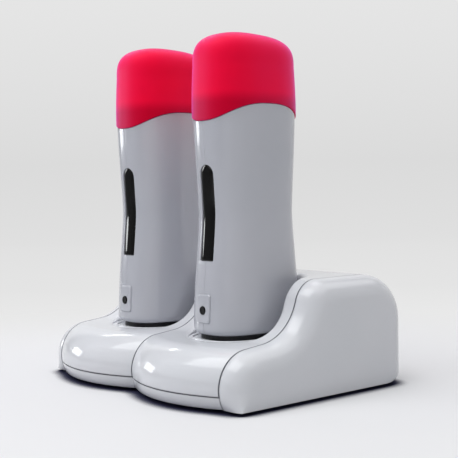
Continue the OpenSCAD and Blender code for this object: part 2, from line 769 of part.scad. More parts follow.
// Fixed electrical pieces of the base
dock_top = seat_h - base_wall;
module dock_block() {
    difference() {
        translate([hand_x - dock_w / 2, hand_y - dock_d / 2, dock_top - dock_h])
            cube([dock_w, dock_d, dock_h]);
        for (s = [-1, 1]) translate([hand_x + s * pin_pitch / 2, hand_y, dock_top - dock_h - 1])
            cylinder(r = pin_r + slide_clear, h = dock_h + 2);
    }
}
module dock_pins() {
    for (s = [-1, 1])
        translate([hand_x + s * pin_pitch / 2, hand_y, dock_top - dock_h - pin_tail])
            cylinder(r = pin_r, h = seat_h + pin_up - dock_top + dock_h + pin_tail);
}
inlet_y = rear_y - inlet_d;
module inlet() {
    translate([hand_x, 0, inlet_z]) difference() {
        translate([-inlet_w / 2, inlet_y, -inlet_h / 2]) cube([inlet_w, inlet_d, inlet_h]);
        translate([0, rear_y - socket_d, 0]) rotate([-90, 0, 0]) linear_extrude(socket_d + 1) {
            for (s = [-1, 1]) translate([s * inlet_pitch / 2, 0]) circle(lobe_r);
            square([inlet_pitch, 2 * lobe_r - 1], center = true);
        }
        for (s = [-1, 1]) translate([s * inlet_pitch / 2, inlet_y - 1, 0])
            rod_y(inlet_pin_r + slide_clear, inlet_d);
    }
}
module inlet_terminals() {
    for (s = [-1, 1]) translate([hand_x + s * inlet_pitch / 2, inlet_y - pin_out, inlet_z])
        rod_y(inlet_pin_r, inlet_d + pin_out - pin_back);
}
board_y = rear_y - board_back - board_d;
block_y = board_y + 4;
fuse_y = board_y + board_d - 9;
board_top = tray_floor + board_post + board_t;
module junction() {
    translate([hand_x - board_w / 2, board_y, board_top - board_t])
        cube([board_w, board_d, board_t]);
    for (x = [-1, 1], y = [post_r + 1.5, board_d - post_r - 1.5])
        translate([hand_x + x * (board_w / 2 - post_r - 1.5), board_y + y, tray_floor])
            cylinder(r = post_r, h = board_post);
    translate([hand_x - block_w / 2, block_y, board_top]) cube([block_w, block_d, block_h]);
    translate([hand_x - fuse_l / 2, fuse_y, board_top + fuse_r + 1]) rod_x(fuse_r, fuse_l);
    for (s = [0, 1])
        translate([hand_x + (s - 0.5) * (fuse_l - 4) - 2, fuse_y - fuse_r, board_top])
            cube([4, 2 * fuse_r, fuse_r + 1]);
}
// Route of a wire from a terminal to the dock pin s of the seat on the side of hand
function dock_route(hand, s, start) = concat(start, [
    [hand + s * pin_pitch / 2, hand_y + 12, dock_top - dock_h - pin_tail - 5],
    [hand + s * pin_pitch / 2, hand_y + 3, dock_top - dock_h - pin_tail - 4.5],
    [hand + s * pin_pitch / 2, hand_y, dock_top - dock_h - pin_tail - wire_stub],
    [hand + s * pin_pitch / 2, hand_y, dock_top - dock_h - pin_tail]]);
module wiring() {
    top = board_top + block_h;
    mid = block_y + block_d / 2;
    for (s = [-1, 1]) {
        wire([[hand_x + s * inlet_pitch / 2, inlet_y - pin_out, inlet_z],
            [hand_x + s * inlet_pitch / 2, inlet_y - pin_out - wire_stub, inlet_z],
            [hand_x + s * inlet_pitch / 2, inlet_y - pin_out - 5, inlet_z - 1],
            [hand_x + s * 3.5, inlet_y - 15, top + 6], [hand_x + s * 3, mid + 2, top + 4],
            [hand_x + s * 3, mid, top + wire_stub], [hand_x + s * 3, mid, top]], wire_r);
        wire(dock_route(hand_x, s, [[hand_x + 10 + s * 2, mid - 1, top],
            [hand_x + 10 + s * 2, mid - 1, top + wire_stub],
            [hand_x + 10 + s * 2, mid - 4, top + 3],
            [hand_x + 6 + s * 5, mid - 14, top + 1]]), wire_r);
        wire(dock_route(-hand_x, s, [[hand_x - 10 + s * 2, mid + s * 1.8, top],
            [hand_x - 10 + s * 2, mid + s * 1.8, top + wire_stub],
            [hand_x - 12 + s * 2, mid + s * 1.8, top + 3.5],
            [hand_x - 22, notch_y + s * 1.8, notch_z + 1], [0, notch_y + s * 1.8, notch_z],
            [-20, notch_y + s * 1.8, notch_z],
            [-hand_x - s * 4, notch_y - 13 + s * 3, notch_z - 1]]), wire_r);
    }
}

module at_left() {
    translate([-hand_x, hand_y, 0]) children();
}
module at_right() {
    translate([hand_x, hand_y, 0]) children();
}

module left_cheek() { color(white) mirror([1, 0, 0]) cheek(); }
module right_cheek() { color(white) cheek(); }
module left_deck() {
    color(white) mirror([1, 0, 0]) difference() {
        deck();
        wiring_notch();
    }
}
module right_deck() {
    color(white) difference() {
        deck();
        wiring_notch();
        inlet_cut();
    }
}
module left_tray() { color(white) mirror([1, 0, 0]) tray(); }
module right_tray() { color(white) tray(); }
module rubber_feet() {
    color(black) both() for (p = feet_spots)
        translate([p[0], p[1], 0]) cylinder(r = pad_r - trim_clear, h = foot_h + pad_sink);
}
module base_screws() {
    color(steel) both() for (p = boss_spots)
        translate([p[0], p[1], foot_h + head_t]) screw(tray_floor + bite_h - foot_h - head_t);
}
module tie_screws() {
    color(steel) {
        both() for (t = tie_spots)
            translate([module_w - half_gap - base_wall, t[0], t[1]])
                rotate([0, 90, 0]) screw(cheek_w - tie_short);
        for (t = tie_spots) translate([-half_gap - base_wall, t[0], t[1]]) {
            rotate([0, 90, 0]) screw(2 * (half_gap + base_wall));
            translate([2 * (half_gap + base_wall), 0, 0]) rod_x(head_r, head_t);
        }
    }
}
module mains_inlet() { color(black) inlet(); }
module inlet_pins() { color(brass) inlet_terminals(); }
module junction_board() { color([0.1, 0.4, 0.25]) junction(); }
module base_wiring() { color([0.15, 0.3, 0.6]) wiring(); }
module left_dock_block() { color(black) mirror([1, 0, 0]) dock_block(); }
module right_dock_block() { color(black) dock_block(); }
module left_dock_pins() { color(brass) mirror([1, 0, 0]) dock_pins(); }
module right_dock_pins() { color(brass) dock_pins(); }

module left_inner_shell() { color(pearl) at_left() outer_half(); }
module left_outer_shell() { color(pearl) at_left() inner_half(); }
module left_foot() { color(black) at_left() foot(); }
module left_foot_screws() { color(steel) at_left() foot_screws(); }
module left_sleeves() { color(brass) at_left() sleeves(); }
module left_collar() { color(white) at_left() collar(); }
module left_well() { color(steel) at_left() well(); }
module left_heater() { color("orange") at_left() heater(); }
module left_thermostat() { color(steel) at_left() thermostat(); }
module left_leads() { color(red) at_left() leads(); }
module left_window() { color(black) at_left() window(); }
module left_switch_pad() { color(pearl) at_left() switch_pad(); }
module left_switch_board() { color([0.1, 0.4, 0.25]) at_left() switch_board(); }
module left_button() { color(black) at_left() button(); }
module left_cap() { color(red) at_left() cap(); }

module right_inner_shell() { color(pearl) at_right() inner_half(); }
module right_outer_shell() { color(pearl) at_right() outer_half(); }
module right_foot() { color(black) at_right() foot(); }
module right_foot_screws() { color(steel) at_right() foot_screws(); }
module right_sleeves() { color(brass) at_right() sleeves(); }
module right_collar() { color(white) at_right() collar(); }
module right_well() { color(steel) at_right() well(); }
module right_heater() { color("orange") at_right() heater(); }
module right_thermostat() { color(steel) at_right() thermostat(); }
module right_leads() { color(red) at_right() leads(); }
module right_window() { color(black) at_right() window(); }
module right_switch_pad() { color(pearl) at_right() switch_pad(); }
module right_switch_board() { color([0.1, 0.4, 0.25]) at_right() switch_board(); }
module right_button() { color(black) at_right() button(); }
module right_cap() { color(red) at_right() cap(); }

left_cheek();
right_cheek();
left_deck();
right_deck();
left_tray();
right_tray();
rubber_feet();
base_screws();
tie_screws();
mains_inlet();
inlet_pins();
junction_board();
base_wiring();
left_dock_block();
right_dock_block();
left_dock_pins();
right_dock_pins();
left_inner_shell();
left_outer_shell();
left_foot();
left_foot_screws();
left_sleeves();
left_collar();
left_well();
left_heater();
left_thermostat();
left_leads();
left_window();
left_switch_pad();
left_switch_board();
left_button();
left_cap();
right_inner_shell();
right_outer_shell();
right_foot();
right_foot_screws();
right_sleeves();
right_collar();
right_well();
right_heater();
right_thermostat();
right_leads();
right_window();
right_switch_pad();
right_switch_board();
right_button();
right_cap();
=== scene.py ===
# Double wax warmer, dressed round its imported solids. Shapes are worked out in millimetres, in the
# frame of the part: X runs along the row of modules, the front faces -Y and the table is Z = 0.
import json
from math import radians

import bmesh
import bpy
import numpy as np
from mathutils import Euler, Matrix, Vector

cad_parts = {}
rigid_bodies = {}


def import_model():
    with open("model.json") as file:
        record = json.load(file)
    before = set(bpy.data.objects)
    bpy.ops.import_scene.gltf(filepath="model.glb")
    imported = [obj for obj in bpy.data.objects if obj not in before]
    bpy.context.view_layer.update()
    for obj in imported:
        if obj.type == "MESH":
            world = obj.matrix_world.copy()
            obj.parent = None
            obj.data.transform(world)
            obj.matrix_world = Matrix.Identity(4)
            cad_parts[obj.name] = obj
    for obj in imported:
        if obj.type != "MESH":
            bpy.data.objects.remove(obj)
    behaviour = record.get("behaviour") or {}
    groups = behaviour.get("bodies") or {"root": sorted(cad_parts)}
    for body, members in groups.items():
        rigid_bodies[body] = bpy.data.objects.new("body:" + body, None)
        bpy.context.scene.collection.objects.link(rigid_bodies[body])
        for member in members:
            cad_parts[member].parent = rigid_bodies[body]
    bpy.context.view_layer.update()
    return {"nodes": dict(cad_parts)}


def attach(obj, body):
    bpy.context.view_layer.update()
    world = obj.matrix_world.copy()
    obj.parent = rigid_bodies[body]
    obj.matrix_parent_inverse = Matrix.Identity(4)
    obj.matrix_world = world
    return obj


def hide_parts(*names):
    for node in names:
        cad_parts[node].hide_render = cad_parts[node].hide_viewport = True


for leftover in list(bpy.data.objects):
    bpy.data.objects.remove(leftover)
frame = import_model()
MM = 0.001

# Camera
# It stands in front of the right end of the base, level with the windows, with a long lens and
# the slight tilt of a shot taken by hand. Its place is in millimetres, its turns in degrees.
camera_place = (510.4, -414.7, 127.2)
camera_azimuth, camera_dip, camera_roll = 49.98, 2.36, -0.87
camera_lens, camera_sensor, camera_near = 77.2, 36, 0.01
camera_data = bpy.data.cameras.new("camera")
camera_data.sensor_width = camera_sensor
camera_data.lens = camera_lens
camera_data.clip_start = camera_near
camera = bpy.data.objects.new("camera", camera_data)
heading = Euler((radians(90 - camera_dip), 0, radians(camera_azimuth))).to_matrix()
heading = (heading @ Matrix.Rotation(radians(camera_roll), 3, "Z")).to_4x4()
camera.matrix_world = Matrix.Translation(Vector(camera_place) * MM) @ heading
bring_in = bpy.context.scene.collection.objects.link
bring_in(camera)
bpy.context.scene.camera = camera
bpy.context.scene.view_settings.view_transform = "Standard"

# Base mouldings: side cheeks
# Each end of the base is closed by a hollow cheek, injection moulded in white, high-gloss ABS.
# It is screwed from the inside to the deck beside it, and a hairline seam shows between them.
module_w, cheek_w, cheek_r = 86.0, 14.0, 13.5
wall, half_gap = 2.2, 0.2
base_rear, base_h, deck_h = 79.0, 71.4, 35.9
bulge, nose_r, nose_y, nose_z = 11.25, 21.75, -46.0, 13.0
hollow_y, hollow_r = -38.0, 32.0
hollow_z = deck_h + hollow_r
shoulder_r, rear_r, heel_r, foot_h = 17.0, 29.5, 7.0, 2.0
seam_low, seam_high, seam_edge = 9.4, 9.7, 0.3
cheek_tight, tight_power = 0.8, 1.5
sharp_turn = radians(40)
shoulder_z = base_h - shoulder_r
join_angle = -np.arcsin((hollow_z - shoulder_z) / (hollow_r + shoulder_r))
shoulder_y = hollow_y + (hollow_r + shoulder_r) * np.cos(join_angle)
# Rough turns of the three arcs and length of the ramp, which share out the steps of the outline:
# the lengths of its seven stretches, and the marks between them
nose_turn, ramp_run, hollow_turn, shoulder_turn = 1.7, 8.0, 1.35, 1.3
stretches = np.array([nose_r * nose_turn, ramp_run, hollow_r * hollow_turn,
                      shoulder_r * shoulder_turn, base_rear - rear_r - shoulder_y,
                      rear_r * np.pi / 2, base_h - rear_r - seam_high])
marks = np.concatenate([[0.0], np.cumsum(stretches)])
outline_length = marks[-1]


def side_outline(s, shift, inset, front_low, rear_low):
    """Y and Z of the base seen from the side, at the distance s along it.

    The path goes up round the nose, straight to the hollow, up the hollow, over the shoulder,
    along the top, over the rear edge and down the rear. The nose is moved forward by shift,
    and the whole outline is drawn in by inset."""
    s, shift, inset = np.broadcast_arrays(s, shift, inset)
    piece = np.clip(np.searchsorted(marks, s, side="right") - 1, 0, len(stretches) - 1)
    f = np.clip((s - marks[piece]) / stretches[piece], 0, 1)
    centre_y = nose_y - shift
    rise, run = hollow_z - nose_z, hollow_y - centre_y
    top = np.arctan2(rise, run) + np.arccos((nose_r + hollow_r) / np.hypot(run, rise))
    start = np.pi + np.arcsin((nose_z - front_low) / (nose_r - inset))

    def on_arc(cy, cz, r, a, b):
        angle = a + (b - a) * f
        return cy + r * np.cos(angle), cz + r * np.sin(angle)

    def on_line(y0, z0, y1, z1):
        return y0 + (y1 - y0) * f, z0 + (z1 - z0) * f

    nose = on_arc(centre_y, nose_z, nose_r - inset, start, top)
    ramp = on_line(centre_y + (nose_r - inset) * np.cos(top),
                   nose_z + (nose_r - inset) * np.sin(top),
                   hollow_y - (hollow_r + inset) * np.cos(top),
                   hollow_z - (hollow_r + inset) * np.sin(top))
    hollow = on_arc(hollow_y, hollow_z, hollow_r + inset, top - np.pi, join_angle)
    shoulder = on_arc(shoulder_y, shoulder_z, shoulder_r - inset, np.pi + join_angle, np.pi / 2)
    roof = on_line(shoulder_y, base_h - inset, base_rear - rear_r, base_h - inset)
    edge = on_arc(base_rear - rear_r, base_h - rear_r, rear_r - inset, np.pi / 2, 0.0)
    back = on_line(base_rear - inset, base_h - rear_r, base_rear - inset, rear_low)
    parts = [nose, ramp, hollow, shoulder, roof, edge, back]
    return [np.choose(piece, [np.broadcast_to(part[axis], s.shape) for part in parts])
            for axis in (0, 1)]


def closed_mesh(name, rings, ends):
    """Closed mesh through rings of equal size, an array of (ring, point, XYZ) in millimetres.

    The ends are closed flat, or as a strip between the two runs of a C-shaped ring, or the last
    ring is joined to the first. The faces are turned outwards by the sign of the volume."""
    k, n = rings.shape[:2]
    index = np.arange(k * n).reshape(k, n)
    if ends == "joined":
        index = np.vstack([index, index[:1]])
    beside = np.roll(index, -1, axis=1)
    quads = np.stack([index[:-1], beside[:-1], beside[1:], index[1:]], axis=-1).reshape(-1, 4)
    points = rings.reshape(-1, 3)
    faces = quads.tolist()
    if ends == "flat":
        faces += [index[0, ::-1].tolist(), index[-1].tolist()]
    if ends == "strip":
        run, back = index[:, :n // 2], index[:, :n // 2 - 1:-1]
        first = np.stack([run[0, :-1], back[0, :-1], back[0, 1:], run[0, 1:]], axis=-1)
        last = np.stack([run[-1, :-1], run[-1, 1:], back[-1, 1:], back[-1, :-1]], axis=-1)
        faces += first.tolist() + last.tolist()
    mesh = bpy.data.meshes.new(name)
    mesh.from_pydata((points * MM).tolist(), [], faces)
    a, b, c, d = (points[quads[:, i]] - points.mean(axis=0) for i in range(4))
    if np.sum(a * (np.cross(b, c) + np.cross(c, d))) < 0:
        mesh.flip_normals()
    return mesh


def solid(name, rings, ends, material, slot, body, *replaced, seam=None):
    """Piece through rings, which rides on a body and may stand for a node of the part. seam gives
    for each ring how far it lies in the painted shade of a parting line, from 0 to 1."""
    mesh = closed_mesh(name, rings, ends)
    mesh.shade_smooth()
    mesh.set_sharp_from_angle(angle=sharp_turn)
    mesh.materials.append(material)
    if seam is not None:
        shade = mesh.attributes.new("seam", "FLOAT", "POINT")
        shade.data.foreach_set("value", np.repeat(np.array(seam, dtype=float), rings.shape[1]))
    piece = bpy.data.objects.new(name, mesh)
    bring_in(piece)
    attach(piece, body)
    if replaced:
        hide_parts(*replaced)
    return piece


def linear(red, green, blue):
    """Colour of a shader, from the three screen values from 0 to 255."""
    c = np.array([red, green, blue]) / 255
    return (*np.where(c > 0.04045, ((c + 0.055) / 1.055) ** 2.4, c / 12.92), 1.0)


def feed(node, **inputs):
    """Give inputs of a node a value, or a link from another node's output. An underscore in an
    input's name stands for a space, and i0, i1 and i2 for the first, second and third input."""
    for name, value in inputs.items():
        socket = node.inputs[int(name[1]) if name in ("i0", "i1", "i2") else name.replace("_", " ")]
        if isinstance(value, bpy.types.NodeSocket):
            node.id_data.links.new(value, socket)
        else:
            socket.default_value = value


def add(tree, kind, setting=None, **inputs):
    """New node of a material, with one setting and its inputs fed."""
    node = tree.nodes.new("ShaderNode" + kind)
    if setting:
        setattr(node, *setting)
    feed(node, **inputs)
    return node


def spread(value, low, high):
    """Value that runs from low to high while another runs from 0 to 1."""
    ranged = add(value.id_data, "MapRange", Value=value, To_Min=low, To_Max=high)
    return ranged.outputs["Result"]


def tinted(value, *stops):
    """Colour that follows a value over stops, each a position and a screen colour."""
    node = add(value.id_data, "ValToRGB", Fac=value)
    for _ in stops[2:]:
        node.color_ramp.elements.new(1.0)
    for element, (position, colour) in zip(node.color_ramp.elements, stops):
        element.position = position
        element.color = linear(*colour)
    return node.outputs["Color"]


def mix_colours(share, first, second):
    """Colour between two, by the share of the second."""
    mixed = add(share.id_data, "Mix", ("data_type", "RGBA"), Factor=share, A=first, B=second)
    return mixed.outputs["Result"]


def relief(height, strength, distance):
    """Normal of a bump that is up to a distance in metres high."""
    bump = add(height.id_data, "Bump", Height=height, Strength=strength, Distance=distance)
    return bump.outputs["Normal"]


def new_material(name):
    """Material, with its node tree, its shader and the coordinates on its object."""
    material = bpy.data.materials.new(name)
    material.use_nodes = True
    tree = material.node_tree
    place = add(tree, "TexCoord").outputs["Object"]
    return material, tree, tree.nodes["Principled BSDF"], place


def moulded_plastic(name, colour, tint, roughness, coat, flow, ripple, **more):
    """Plastic out of a mould: the colour drifts slightly to a tint where the melt flowed, the
    roughness has fine handling marks, and the surface has a very shallow ripple."""
    material, tree, shader, place = new_material(name)
    drift = add(tree, "TexNoise", Vector=place, Scale=flow, Detail=3).outputs["Fac"]
    handling = add(tree, "TexNoise", Vector=place, Scale=900, Detail=4).outputs["Fac"]
    feed(shader, Base_Color=tinted(drift, (0.35, colour), (0.65, tint)),
         Roughness=spread(handling, roughness * 0.8, roughness * 1.3),
         Coat_Weight=coat, Coat_Roughness=0.03, Normal=relief(drift, ripple, 0.0002), **more)
    return material


def paint_seam_shade(material, colour):
    """Painted shade along the parting lines: where the seam attribute is high, the colour goes over
    to a darker grey.
    """
    tree = material.node_tree
    lies = add(tree, "Attribute", ("attribute_name", "seam")).outputs["Fac"]
    unshaded = tree.nodes["Color Ramp"].outputs["Color"]
    feed(tree.nodes["Principled BSDF"], Base_Color=mix_colours(lies, unshaded, linear(*colour)))


base_white = moulded_plastic("base_white", (218, 219, 224), (215, 217, 222), 0.13, 0.15, 22, 0.2)
# Painted shade along the parting lines of the base, in this darker grey
paint_seam_shade(base_white, (112, 114, 122))
# Steps round a ring of a cheek, and rings over its rounding and over the edge of a seam
cheek_steps = np.linspace(0, outline_length, 330)
nose_steps, heel_steps, under_steps = 12, 10, 24
round_steps, edge_steps = 22, 5
# Share of painted seam shade on the ring beside a seam
shade_beside_seam = 0.3


def xyz(x, y, z):
    """Points from their three coordinates, of which some may be the same for all."""
    return np.stack(np.broadcast_arrays(x, y, z), axis=-1)


def quarter(steps):
    """Angles from 0 to a right angle."""
    return np.linspace(0, np.pi / 2, steps)


def rounding(r, steps):
    """Places on a rounded edge, a below one face and b below the other, on the arc of a circle
    that leaves the first face at b = r and meets the second at a = r."""
    return [(r * (1 - np.cos(t)), r * (1 - np.sin(t))) for t in quarter(steps)]


def cheek_ring(x, inset, skin, heel, low):
    """Ring of a cheek in the plane x: its outline drawn in by the rounding inset and by the
    wall skin. The front rounding gets tight towards the table, and the heel is an arc."""
    z = np.linspace(low, nose_z, nose_steps)[:-1]
    tight = 1 - cheek_tight * ((nose_z - z) / (nose_z - foot_h)) ** tight_power
    front = nose_y + skin + inset * tight - np.sqrt(nose_r ** 2 - (nose_z - z) ** 2)
    heel_top = low + heel
    y_up, z_up = side_outline(cheek_steps, 0, inset + skin, nose_z, heel_top)
    turn = -quarter(heel_steps)[1:]
    rear = base_rear - inset - skin - heel
    below = np.linspace(rear, front[0], under_steps)[1:-1]
    y = np.concatenate([front, y_up, rear + heel * np.cos(turn), below])
    height = np.concatenate([z, z_up, heel_top + heel * np.sin(turn), np.full_like(below, low)])
    return xyz(x, y, height)


def cheek_rings():
    """Inner wall from its flat side back to the seam, then the outer skin out to its flat side."""
    seam = module_w + half_gap
    outer = module_w + cheek_w
    rings = [cheek_ring(outer - wall - b, a, wall, heel_r - wall, foot_h + wall)
             for a, b in rounding(cheek_r - wall, round_steps)[::-1]]
    rings.append(cheek_ring(seam, 0, wall, heel_r - wall, foot_h + wall))
    rings += [cheek_ring(seam + a, 0, b, heel_r, foot_h)
              for a, b in rounding(seam_edge, edge_steps)]
    rings += [cheek_ring(outer - b, a, 0, heel_r, foot_h)
              for a, b in rounding(cheek_r, round_steps)]
    return np.array(rings)


sides = ((-1, "left"), (1, "right"))


def base_pair(name, rings, shade):
    """A moulding of the base on the right and its mirror image on the left, for their nodes."""
    return [solid(f"{word}_{name}_moulding", rings * [side, 1, 1], "flat", base_white,
                  "base_white", "base", f"{word}_{name}", seam=shade) for side, word in sides]


# Painted seam shade of each ring of a cheek
cheek_shade = [0] * round_steps + [1] * (edge_steps + 1) + [shade_beside_seam] + [0] * (round_steps - 1)
base_pair("cheek", cheek_rings(), cheek_shade)

# Base mouldings: decks
# One deck covers each module, of the same white ABS as the cheeks. Its nose bulges forward
# between the seams, and an oval cradle is sunk into it, where a warmer stands on its contacts.
hand_x, hand_y = 42.2, -7.5
cradle_x, cradle_y, cradle_power = 33.0, 38.5, 2.1
cradle_at = (module_w / 2, hand_y - 1)
seat_h = 34.6
plan_power = 2.6
foot_half_x, foot_half_y = 24.0, 35.7
bead_gap, bead_w, bead_h, bead_power = 0.5, 1.0, 0.8, 0.6
rim_out, rim_drop = 3.6, 3.6
# The rim and the corner at the floor stay within these shares of the height of the cradle's wall
# and of the rim. The rings of the open deck lie closer by crowding at both of its ends.
rim_share, corner_share = 0.8, 0.06
crowding = 0.12
front_columns, side_columns = 118, 232
border_columns = (front_columns, side_columns) * 2
bead_steps, rim_steps, open_steps = 9, 14, 40


def plan_ring(a, b, angle, at=(0.0, 0.0), power=plan_power):
    """Superellipse in plan, with half widths a and b round the place at."""
    c, s = np.cos(angle), np.sin(angle)
    reach = ((np.abs(c) / a) ** power + (np.abs(s) / b) ** power) ** (-1 / power)
    return at[0] + reach * c, at[1] + reach * s


def sag(x):
    """Forward shift of the nose at the place x of a module: a parabola between the seams."""
    return bulge * (1 - (2 * x / module_w - 1) ** 2)


def deck_point(x, s, inset, low):
    """Point of the unrolled deck, at x across a module and the distance s along its outline."""
    y, z = side_outline(s, sag(x), inset, low, low)
    return xyz(x, y, z)


def deck_distance(x, y, inset, low):
    """Distance along the outline at which it passes y, found by halving the interval."""
    lo = np.full_like(x, marks[1] * 0.8)
    hi = np.full_like(x, marks[6])
    for _ in range(40):
        mid = (lo + hi) / 2
        behind = side_outline(mid, sag(x), inset, low, low)[0] > y
        lo, hi = np.where(behind, lo, mid), np.where(behind, mid, hi)
    return (lo + hi) / 2


def deck_border(margin):
    """Points X and S along the border of the unrolled deck, at a margin from it: the front edge,
    the right seam, the rear edge and the left seam."""
    x0, x1 = half_gap + margin, module_w - half_gap - margin
    s0, s1 = margin, outline_length - margin
    return [np.concatenate([np.linspace(start, end, columns, endpoint=False)
                            for start, end, columns in zip(corners, corners[1:], border_columns)])
            for corners in ((x0, x1, x1, x0, x0), (s0, s0, s1, s1, s0))]


def deck_skin(inset, low, floor_z):
    """Rings of one skin of a deck from the seat outwards: floor, wall and rounded rim of the
    cradle, then the unrolled deck out to its border, and the rounded edge at the seams."""
    def cradle(angle, extra=0.0):
        return plan_ring(cradle_x + inset + extra, cradle_y + inset + extra, angle, cradle_at,
                         cradle_power)

    # Each column leaves the cradle at the angle that makes it run straight to the border
    border_x, border_s = deck_border(seam_edge + inset)
    rim_angle = np.linspace(0, 2 * np.pi, 721)
    rim = cradle(rim_angle)
    rim_s = deck_distance(rim[0], rim[1], inset, low)
    middle = (rim_s.min() + rim_s.max()) / 2
    polar = np.arctan2(border_s - middle, border_x - cradle_at[0])
    rim_polar = np.unwrap(np.arctan2(rim_s - middle, rim[0] - cradle_at[0]))
    lead = (rim_angle - rim_polar)[:-1]
    angle = polar + np.interp(polar, rim_polar[:-1], lead, period=2 * np.pi)

    def on_deck(extra):
        x, y = cradle(angle, extra)
        s = deck_distance(x, y, inset, low)
        return x, s, deck_point(x, s, inset, low)

    drop = np.minimum(rim_drop, rim_share * (on_deck(0.0)[2][:, 2] - floor_z))
    rings = []
    if inset == 0:
        for f in np.linspace(0, 1, bead_steps):
            grow = bead_gap + bead_w * f
            x, y = plan_ring(foot_half_x + grow, foot_half_y + grow, angle, (hand_x, hand_y))
            rings.append(xyz(x, y, floor_z + bead_h * np.sin(np.pi * f) ** bead_power))
    corner = corner_share * drop
    x, y = cradle(angle)
    for a, b in rounding(corner, edge_steps):
        inward = b / np.hypot(x - cradle_at[0], y - cradle_at[1])
        rings.append(xyz(x + (cradle_at[0] - x) * inward, y + (cradle_at[1] - y) * inward,
                         floor_z + a))
    turn = quarter(rim_steps)
    rounded = [on_deck(rim_out * (1 - np.cos(t))) for t in turn]
    low_end = rounded[0][2][:, 2] - drop
    for f in (0.35, 0.7):
        wall_ring = rounded[0][2].copy()
        wall_ring[:, 2] = floor_z + corner + (low_end - floor_z - corner) * f
        rings.append(wall_ring)
    for t, (x, s, p) in zip(turn, rounded):
        rings.append(p - xyz(0, 0, drop * (1 - np.sin(t))))
    start_x, start_s = rounded[-1][:2]
    for f in np.linspace(0, 1, open_steps)[1:]:
        f = f - crowding * np.sin(2 * np.pi * f) / np.pi
        rings.append(deck_point(start_x + (border_x - start_x) * f,
                                start_s + (border_s - start_s) * f, inset, low))
    for a, b in rounding(seam_edge, edge_steps)[1:]:
        edge_x, edge_s = deck_border(inset + b)
        rings.append(deck_point(edge_x, np.clip(edge_s, 0, None), inset + a, low))
    return rings


def deck_foot(inset, low):
    """Lower rim of a deck: the seam walls come straight down to the seam above the tray."""
    p = deck_point(*deck_border(inset), inset, low)
    n, m = front_columns, side_columns
    front, rear = p[n, 1], base_rear - inset
    share = np.linspace(0, 1, m, endpoint=False)
    p[n:n + m, 1] = front + (rear - front) * share
    p[2 * n + m:, 1] = rear + (front - rear) * share
    p[:, 2] = low
    return p


outer = deck_skin(0.0, seam_high, seat_h)
inner = deck_skin(wall, seam_high, seat_h - wall)
deck = np.array(outer + [deck_foot(0.0, seam_high), deck_foot(wall, seam_high)] + inner[::-1])
# Painted seam shade of each ring of a deck
deck_shade = [0] * (len(outer) - edge_steps) + [shade_beside_seam] + [1] * edge_steps
deck_shade += [0] * (len(inner) + 1)
decks = base_pair("deck", deck, deck_shade)

# Base mouldings: openings
# Holes are cut into the finished mouldings with the sizes of the part: two holes for the dock
# pins in each seat, and the mouth of the mains inlet in the rear wall of the right deck.
pin_r, pin_pitch, hole_clear = 2.0, 16.0, 0.2
inlet_w, inlet_h, inlet_z, inlet_clear, inlet_r = 24.0, 17.0, 30.0, 0.15, 0.6
past = 1.0


def prism(loop, axis, start, end):
    """Rings of a straight cutter: a loop of points in the plane across an axis, from start to
    end along it."""
    a, b = loop.T
    return np.array([xyz(a, b, level) if axis == "Z" else xyz(a, level, b)
                     for level in (start, end)])


def round_hole(a, b, r):
    """Loop of a circle round the point (a, b)."""
    t = np.linspace(0, 2 * np.pi, 48, endpoint=False)
    return np.stack([a + r * np.cos(t), b + r * np.sin(t)], axis=-1)


def rounded_box(a, b, half_a, half_b, r, steps=7):
    """Loop of a rectangle with rounded corners round the point (a, b)."""
    t = quarter(steps)
    corners = [(1, 1, 0), (-1, 1, 1), (-1, -1, 2), (1, -1, 3)]
    return np.concatenate([np.stack([a + sa * (half_a - r) + r * np.cos(t + q * np.pi / 2),
                                     b + sb * (half_b - r) + r * np.sin(t + q * np.pi / 2)], -1)
                           for sa, sb, q in corners])


def cut_out(piece, cutters):
    """Cut straight prisms out of a piece, and keep the result as its mesh. The cut leaves out
    slivers without area at sharp corners, which are put back so that the mesh is closed."""
    tools = []
    for number, rings in enumerate(cutters):
        name = f"cutter_{number}"
        tool = bpy.data.objects.new(name, closed_mesh(name, rings, "flat"))
        bring_in(tool)
        cut = piece.modifiers.new(name, "BOOLEAN")
        cut.object = tool
        cut.solver = "EXACT"
        tools.append(tool)
    bpy.context.view_layer.update()
    done = bpy.data.meshes.new_from_object(
        piece.evaluated_get(bpy.context.evaluated_depsgraph_get()))
    piece.modifiers.clear()
    whole = bmesh.new()
    whole.from_mesh(done)
    bmesh.ops.holes_fill(whole, edges=[edge for edge in whole.edges if edge.is_boundary], sides=4)
    whole.to_mesh(done)
    whole.free()
    piece.data = done
    for tool in tools:
        bpy.data.objects.remove(tool)


for piece, (side, word) in zip(decks, sides):
    holes = [prism(round_hole(side * (hand_x + s * pin_pitch / 2), hand_y, pin_r + hole_clear),
                   "Z", seat_h - wall - past, seat_h + past) for s in (-1, 1)]
    if side > 0:
        mouth = rounded_box(hand_x, inlet_z, inlet_w / 2 + inlet_clear, inlet_h / 2 + inlet_clear,
                            inlet_r)
        holes.append(prism(mouth, "Y", base_rear - wall - past, base_rear + past))
    cut_out(piece, holes)

# Base mouldings: trays
# A shallow tray of the same ABS closes each module from below, with recesses for the rubber feet
# and the screw heads. The hairline seam between tray and deck runs round the nose.
tray_edge = 0.8
foot_in_x, foot_in_y = 20.0, 18.0
boss_in, screw_in_front, screw_in_rear = 5.55, 16.0, 14.0
tray_front = -base_rear + bulge
foot_spots = [(x, y) for x in (foot_in_x, module_w - foot_in_x)
              for y in (tray_front + foot_in_y, base_rear - foot_in_y)]
screw_spots = [(x, y) for x in (boss_in, module_w - boss_in)
               for y in (tray_front + screw_in_front, base_rear - screw_in_rear)]
foot_r, foot_sink, head_r, head_t = 7.0, 1.0, 2.8, 2.0
# Painted seam shade of each ring of a tray
tray_shade = [0] * 13 + [0.2] + [0.8] * 5 + [0] * 6


